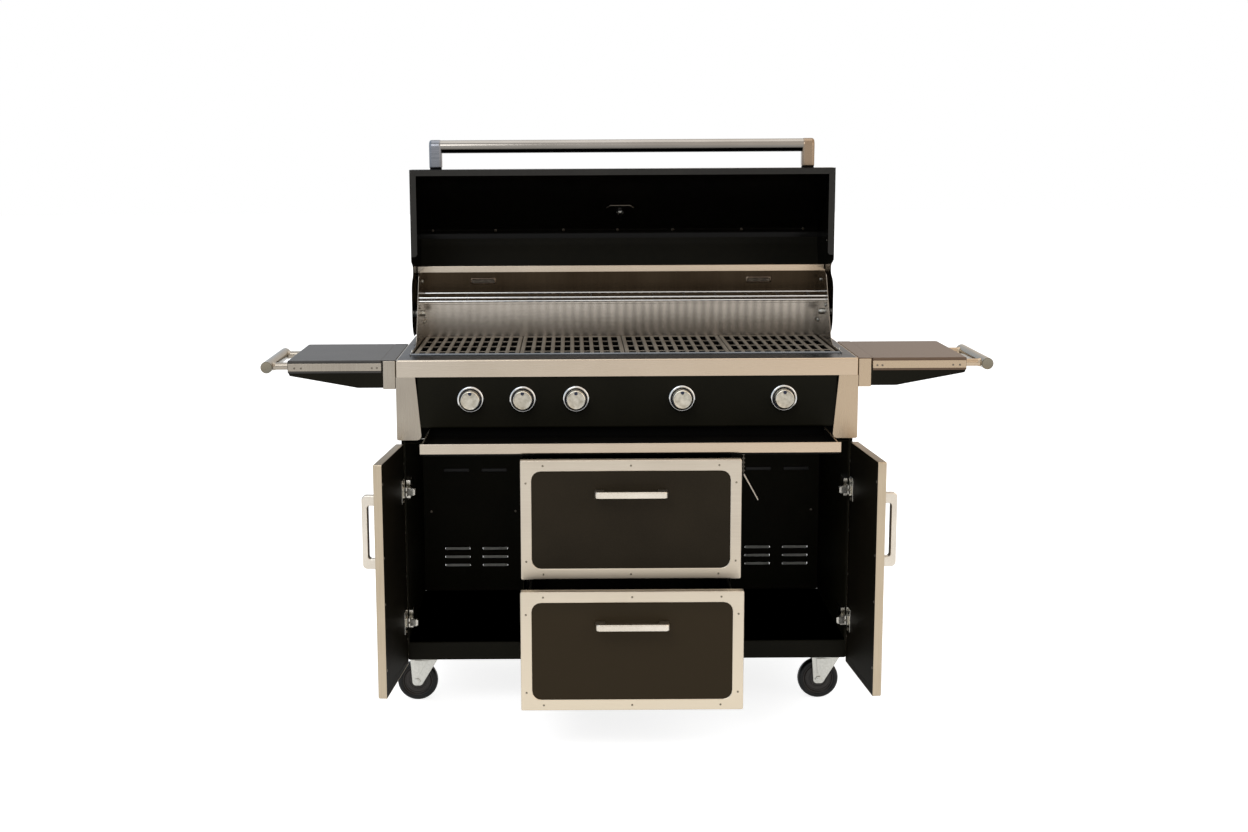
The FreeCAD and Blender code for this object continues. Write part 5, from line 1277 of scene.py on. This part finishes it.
# ----------------------------------------------------------------------------------------------
# Casters
# ----------------------------------------------------------------------------------------------
def build_casters():
    """Swivel casters: ribbed fork, swivel head, axle, nuts, tyre and dished hub."""
    bolts = []
    for corner in CASTERS:
        axis = Vector(JOINTS[f"caster_{corner}_swivel"]["pos_m"]) * 1000
        axle = Vector(JOINTS[f"wheel_{corner}_spin"]["pos_m"]) * 1000
        body, wheel, place = f"caster_{corner}", f"wheel_{corner}", Matrix.Translation(axle)
        leg = rounded([(axle.x - 17, 106), (axle.x - 12, axle.z - 11, 9),
                       (axle.x + 10, axle.z - 11, 9), (axis.x + 30, 106)])
        ridge = rounded([(axle.x - 6, 104), (axle.x - 3.5, axle.z + 15, 3),
                         (axle.x + 3.5, axle.z + 15, 3), (axis.x + 6, 104)])
        legs = bmesh.new()
        for turn in SIDES:
            inner = axis.y * turn + 15.6
            slab(legs, leg, "y", *pair(turn, inner, inner + 2.4))
            slab(legs, ridge, "y", *pair(turn, inner + 2, inner + 4.4))
        piece(f"caster_fork_legs_{corner}", legs, body, "zinc",
              [f"caster_fork_{corner}"], soften=0.9)
        head = [(6.4, 104.2), (21, 104.2), (23, 105), (24, 107), (24, 110), (22.6, 112),
                (19, 113), (14, 112.4), (12, 113), (6.4, 113), (6.4, 104.2)]
        upright = Matrix.Translation((axis.x, axis.y, 0)) @ TURN_X
        piece(f"caster_head_{corner}", shaped(lathe, head, upright, 40), body,
              "zinc", smooth=50)
        pin = [(0, -22), (4, -22), (5, -21), (5, 21), (4, 22), (0, 22)]
        piece(f"caster_axle_{corner}", shaped(lathe, pin, place, 24), body,
              "zinc", smooth=50)
        nuts = [((axle.x, axle.y + facing[1] * 18, axle.z), facing, 1.0)
                for facing in (FRONT, BACK)]
        copies(f"caster_nuts_{corner}", nut_shape(14.5, 4, 4.6, 1.4), nuts, body,
               "zinc")
        half = [(37.2, -10.5), (38.4, -12.4), (41, -13.4), (44.5, -13.3), (47.4, -11.6),
                (49.2, -8.4), (50, -4)]
        tyre = half + [(r, -a) for r, a in reversed(half)] + half[:1]
        piece(f"tyre_{corner}", shaped(lathe, tyre, place, 72), wheel, "tyre",
              [wheel], smooth=50)
        half = [(5.4, 14.4), (12.2, 14.4), (13, 13.6), (13.4, 10.2), (15, 9.2), (20, 8.6),
                (20.6, 9.6), (22.4, 9.6), (23, 8.6), (29.5, 8.8), (30, 10.2), (32, 10.2),
                (32.6, 9), (34.6, 10), (35.4, 11.8), (37.3, 12.2)]
        hub = [(r, -a) for r, a in half] + [(r, a) for r, a in reversed(half)] + [(5.4, -14.4)]
        piece(f"wheel_hub_{corner}", shaped(lathe, hub, place, 72), wheel,
              "hub", smooth=45)
        bolts += [((axis.x + dx, axis.y + dy, 117), DOWN, 1.0)
                  for dx in (-24, 24) for dy in (-24, 24)]
    copies("caster_bolts", nut_shape(9, 3.4, 2.6, 0), bolts, "cart", "zinc")


# ----------------------------------------------------------------------------------------------
# Frame nodes that keep their own shape: finish and width of their softened edges
# ----------------------------------------------------------------------------------------------
KEPT = {
    "cabinet_frame": ("inside", 0.5), "back_panel": ("inside", 0),
    "firebox_sides": ("liner", 0.5), "firebox_pan": ("soot", 0.4), "rear_wall": ("browned", 0),
    "burners": ("burner", 0.5), "flame_tamers": ("soot", 0.5), "gas_manifold": ("brass", 0.4),
    "slide_rails": ("zinc", 0.6), "hinge_plates": ("nickel", 1.2),
    "caster_plates": ("zinc", 0.6), "pivot_bolts": ("zinc", 0.6),
}


def dress_frame():
    """Give every frame node that still shows its finish, and soften its sharp edges."""
    for name, (key, edge) in KEPT.items():
        node = frame["nodes"][name]
        node.data.materials.clear()
        node.data.materials.append(dressed(key))
        for face in node.data.polygons:
            face.material_index = 0
        if edge:
            node.modifiers.new("weld", "WELD").merge_threshold = 0.00002
            round_edges(node, edge, 40, 2).harden_normals = False


# ----------------------------------------------------------------------------------------------
# Stage
# ----------------------------------------------------------------------------------------------
ROOM_COOL, ROOM_WARM = (0.74, 0.82, 0.92, 1), (1.0, 0.88, 0.76, 1)
WHITE = (1, 1, 1, 1)
CAMERA_SPOT = (-0.1303, FACE / 1000 - 4.15842, 1.36859)
CAMERA_TURN, CAMERA_TILT, CAMERA_ROLL = -0.0002, QUARTER - 0.17427, -0.00562
CAMERA_SHIFT = (0.04084, 0.02898)


def seen_rays(tree):
    """The light path, and 1 for camera, glossy and transmission rays."""
    path = add(tree, "ShaderNodeLightPath")
    seen = path.outputs["Is Camera Ray"]
    for kind in ("Is Glossy Ray", "Is Transmission Ray"):
        seen = add(tree, "ShaderNodeMath", {0: seen, 1: path.outputs[kind]},
                   operation="MAXIMUM").outputs[0]
    return path, seen


def build_surround(scene, settings):
    """Standard view and a white surround, whose mirror image is cool left and warm right."""
    scene.view_settings.view_transform = "Standard"
    world = scene.world or bpy.data.worlds.new("surround")
    scene.world = world
    world.use_nodes = True
    tree = world.node_tree
    tree.nodes.clear()
    path, seen = seen_rays(tree)
    level = add(tree, "ShaderNodeMapRange", {"Value": seen}, To_Min=settings.surround,
                To_Max=1.0)
    way = add(tree, "ShaderNodeSeparateXYZ",
              {"Vector": add(tree, "ShaderNodeTexCoord").outputs["Generated"]})
    across = add(tree, "ShaderNodeMapRange", {"Value": way.outputs["X"]}, From_Min=-0.3,
                 From_Max=0.3)
    room = add(tree, "ShaderNodeMix", {0: across.outputs[0], 6: ROOM_COOL, 7: ROOM_WARM},
               data_type="RGBA")
    mirrored = add(tree, "ShaderNodeMix", {0: path.outputs["Is Glossy Ray"], 6: WHITE,
                                           7: room.outputs[2]}, data_type="RGBA")
    light = add(tree, "ShaderNodeBackground", {"Strength": level, "Color": mirrored.outputs[2]})
    add(tree, "ShaderNodeOutputWorld", {"Surface": light})


def build_floor(scene, settings):
    """A wide sheet of paper that the camera sees almost white."""
    material, tree = empty_material("matt_white_paper")
    place = add(tree, "ShaderNodeTexCoord")
    speck = add(tree, "ShaderNodeTexNoise", {"Vector": place.outputs["Object"]}, Scale=3.0,
                Detail=2.0)
    tone = add(tree, "ShaderNodeMapRange", {"Value": speck.outputs["Fac"]}, To_Min=0.79,
               To_Max=0.81)
    matt = add(tree, "ShaderNodeBsdfDiffuse", {"Color": tone})
    path, seen = seen_rays(tree)
    # mirrored light stays as soft as the floor's own
    lift = add(tree, "ShaderNodeMapRange", {"Value": path.outputs["Is Camera Ray"]},
               To_Min=settings.floor_glow, To_Max=settings.floor_white)
    power = add(tree, "ShaderNodeMath", {0: seen, 1: lift}, operation="MULTIPLY")
    glow = add(tree, "ShaderNodeEmission", {"Strength": power}, Color=WHITE)
    both = add(tree, "ShaderNodeAddShader", {0: matt, 1: glow})
    add(tree, "ShaderNodeOutputMaterial", {"Surface": both})
    mesh = bmesh.new()
    bmesh.ops.create_grid(mesh, x_segments=8, y_segments=8, size=30)
    data = bpy.data.meshes.new("floor")
    mesh.to_mesh(data)
    mesh.free()
    floor = bpy.data.objects.new("floor", data)
    scene.collection.objects.link(floor)
    data.materials.append(material)


def build_lamps(scene, settings):
    """Three round softboxes: key from the left, fill from the right, and one above."""
    for name, spot, aim, width, share in (
            ("key_softbox", (-1.6, -3.4, 3.6), (0, 0, 0.6), 2.4, 1),
            ("fill_softbox", (2.8, -2.6, 2.2), (0, 0, 0.5), 2.4, 0.35),
            ("top_softbox", (0, 0.6, 4.2), (0, 0, 0.5), 3.2, 0.5)):
        lamp = bpy.data.lights.new(name, "AREA")
        lamp.shape, lamp.size, lamp.energy = "DISK", width, settings.key * share
        holder = bpy.data.objects.new(name, lamp)
        holder.location = spot
        holder.rotation_euler = (Vector(aim) - Vector(spot)).to_track_quat("-Z", "Y").to_euler()
        scene.collection.objects.link(holder)


def build_camera(scene, settings):
    """The camera, a little left of the middle and looking slightly down."""
    camera = bpy.data.cameras.new("camera")
    camera.lens, camera.sensor_width = settings.lens, 36
    camera.shift_x, camera.shift_y = CAMERA_SHIFT
    camera.dof.use_dof = False
    holder = bpy.data.objects.new("camera", camera)
    holder.matrix_world = (
        Matrix.Translation(CAMERA_SPOT) @ Matrix.Rotation(CAMERA_TURN, 4, "Z")
        @ Matrix.Rotation(CAMERA_TILT, 4, "X") @ Matrix.Rotation(CAMERA_ROLL, 4, "Z"))
    scene.collection.objects.link(holder)
    scene.camera = holder


# ----------------------------------------------------------------------------------------------
# Add-on: settings, operators and panel
# ----------------------------------------------------------------------------------------------
def length(name, description, value):
    """A length property; value is in millimetres."""
    return FloatProperty(name=name, description=description, default=value / 1000, min=0.0001,
                         unit="LENGTH", precision=4)


class GrillSizes(bpy.types.PropertyGroup):
    """Sizes of the visible pieces."""

    wall: length("Sheet", "Thickness of the folded steel sheets", 1.2)
    opening_side: length("Opening Side", "Worktop left beside the cooking opening", 26)
    ledge_depth: length("Front Ledge", "Depth of the worktop before the cooking opening", 108)
    pointer_radius: length("Pointer", "Radius of the dot on each knob", 4.5)
    shelf_extra: length("Shelf Reach", "How far each side shelf stands past its node", 7)
    shelf_arm_radius: length("Shelf Arm", "Radius of the arms of the shelf handles", 9)
    hood_tube_radius: length("Hood Tube", "Radius of the tube on the hood", 16.6)
    grate_bar_spacing: length("Grate Bars", "Least spacing of the bars of a grate", 23)
    rack_wire_radius: length("Rack Wire", "Radius of the warming rack's long wires", 2.5)
    rack_cross_radius: length("Rack Cross Wire", "Radius of its cross wires", 1.5)
    vent_spacing: length("Vent Spacing", "Distance between the slots of the back panel", 23)
    window_border: length("Window Border", "Steel round the black window of a front", 25)
    window_corner: length("Window Corner", "Radius of the window's corners", 21)
    pull_reach: length("Pull Reach", "How far the drawer and door handles stand out", 37)
    drawer_pull_length: length("Drawer Pull", "Length of the drawer handles", 164)
    door_pull_length: length("Door Pull", "Length of the door handles", 172)


class GrillColours(bpy.types.PropertyGroup):
    """Lightest tone of every finish."""

    __annotations__ = {
        key: FloatVectorProperty(name=row[0].replace("_", " ").title(), subtype="COLOR",
                                 description="Lightest tone of this finish", min=0, max=1,
                                 default=colour(row[2])[:3])
        for key, row in FINISH_TABLE.items()}


class GrillStage(bpy.types.PropertyGroup):
    """Light and lens of the stage."""

    surround: FloatProperty(name="Surround", description="Light from all round on the grill",
                            default=0.62, min=0)
    floor_glow: FloatProperty(name="Floor Glow", default=0.5, min=0,
                              description="How much the floor is lifted to white")
    floor_white: FloatProperty(name="Floor White", default=0.82, min=0,
                               description="How white the floor looks to the camera")
    key: FloatProperty(name="Key Lamp", description="Power of the main softbox", default=42.0,
                       min=0, unit="POWER")
    lens: FloatProperty(name="Lens", description="Focal length of the camera in millimetres",
                        default=50.89, min=1)


class GRILL_OT_stage(bpy.types.Operator):
    """Build the floor, the light and the camera."""

    bl_idname = "grill.stage"
    bl_label = "Stage"

    def execute(self, context):
        for build in (build_surround, build_floor, build_lamps, build_camera):
            build(context.scene, context.scene.grill_stage)
        return {"FINISHED"}


class GRILL_OT_top(bpy.types.Operator):
    """Build the worktop, posts, control panel and bezels."""

    bl_idname = "grill.top"
    bl_label = "Worktop and Panel"

    def execute(self, context):
        build_worktop()
        build_posts()
        build_panel()
        build_bezels()
        return {"FINISHED"}


class GRILL_OT_knobs(bpy.types.Operator):
    """Build the five knobs."""

    bl_idname = "grill.knobs"
    bl_label = "Knobs"

    def execute(self, context):
        build_knobs()
        return {"FINISHED"}


class GRILL_OT_shelves(bpy.types.Operator):
    """Build both side shelves."""

    bl_idname = "grill.shelves"
    bl_label = "Side Shelves"

    def execute(self, context):
        build_shelves()
        return {"FINISHED"}


class GRILL_OT_hood(bpy.types.Operator):
    """Build the raised hood, its handle and its thermometer."""

    bl_idname = "grill.hood"
    bl_label = "Hood"

    def execute(self, context):
        build_hood()
        build_hood_handle()
        build_thermometer()
        return {"FINISHED"}


class GRILL_OT_firebox(bpy.types.Operator):
    """Build the firebox trims, grates and warming rack."""

    bl_idname = "grill.firebox"
    bl_label = "Firebox"

    def execute(self, context):
        build_firebox()
        build_grates()
        build_rack()
        return {"FINISHED"}


class GRILL_OT_cabinet(bpy.types.Operator):
    """Build the base, vents, screws and match holder."""

    bl_idname = "grill.cabinet"
    bl_label = "Cabinet"

    def execute(self, context):
        build_cabinet()
        build_match_holder()
        return {"FINISHED"}


class GRILL_OT_doors(bpy.types.Operator):
    """Build both doors."""

    bl_idname = "grill.doors"
    bl_label = "Doors"

    def execute(self, context):
        build_doors()
        return {"FINISHED"}


class GRILL_OT_drawers(bpy.types.Operator):
    """Build both drawers."""

    bl_idname = "grill.drawers"
    bl_label = "Drawers"

    def execute(self, context):
        build_drawers()
        return {"FINISHED"}


class GRILL_OT_tray(bpy.types.Operator):
    """Build the grease tray."""

    bl_idname = "grill.tray"
    bl_label = "Grease Tray"

    def execute(self, context):
        build_tray()
        return {"FINISHED"}


class GRILL_OT_casters(bpy.types.Operator):
    """Build the four casters."""

    bl_idname = "grill.casters"
    bl_label = "Casters"

    def execute(self, context):
        build_casters()
        return {"FINISHED"}


class GRILL_OT_frame_nodes(bpy.types.Operator):
    """Finish the frame nodes that keep their own shape."""

    bl_idname = "grill.frame_nodes"
    bl_label = "Frame Finishes"

    def execute(self, context):
        dress_frame()
        return {"FINISHED"}


OPERATORS = (GRILL_OT_stage, GRILL_OT_top, GRILL_OT_knobs, GRILL_OT_shelves, GRILL_OT_hood,
             GRILL_OT_firebox, GRILL_OT_cabinet, GRILL_OT_doors, GRILL_OT_drawers,
             GRILL_OT_tray, GRILL_OT_casters, GRILL_OT_frame_nodes)
GROUPS = {"grill_sizes": GrillSizes, "grill_colours": GrillColours, "grill_stage": GrillStage}


class GRILL_PT_pieces(bpy.types.Panel):
    """Lists the pieces of the grill in the order they are built, then their settings."""

    bl_idname = "GRILL_PT_pieces"
    bl_label = "Gas Grill"
    bl_space_type = "VIEW_3D"
    bl_region_type = "UI"
    bl_category = "Gas Grill"

    def draw(self, context):
        for operator in OPERATORS:
            self.layout.operator(operator.bl_idname)
        for group, kind in GROUPS.items():
            box = self.layout.box()
            for label in kind.__annotations__:
                box.prop(getattr(context.scene, group), label)


CLASSES = (*GROUPS.values(), *OPERATORS, GRILL_PT_pieces)


def register():
    """Register the add-on's classes and the scene's settings."""
    for item in CLASSES:
        bpy.utils.register_class(item)
    for group, kind in GROUPS.items():
        setattr(bpy.types.Scene, group, PointerProperty(type=kind))


def unregister():
    """Take the add-on's classes and settings away."""
    for group in GROUPS:
        delattr(bpy.types.Scene, group)
    for item in reversed(CLASSES):
        bpy.utils.unregister_class(item)


def main():
    """Build the whole grill."""
    register()
    for operator in OPERATORS:
        group, name = operator.bl_idname.split(".")
        getattr(getattr(bpy.ops, group), name)()


if __name__ == "__main__":
    main()
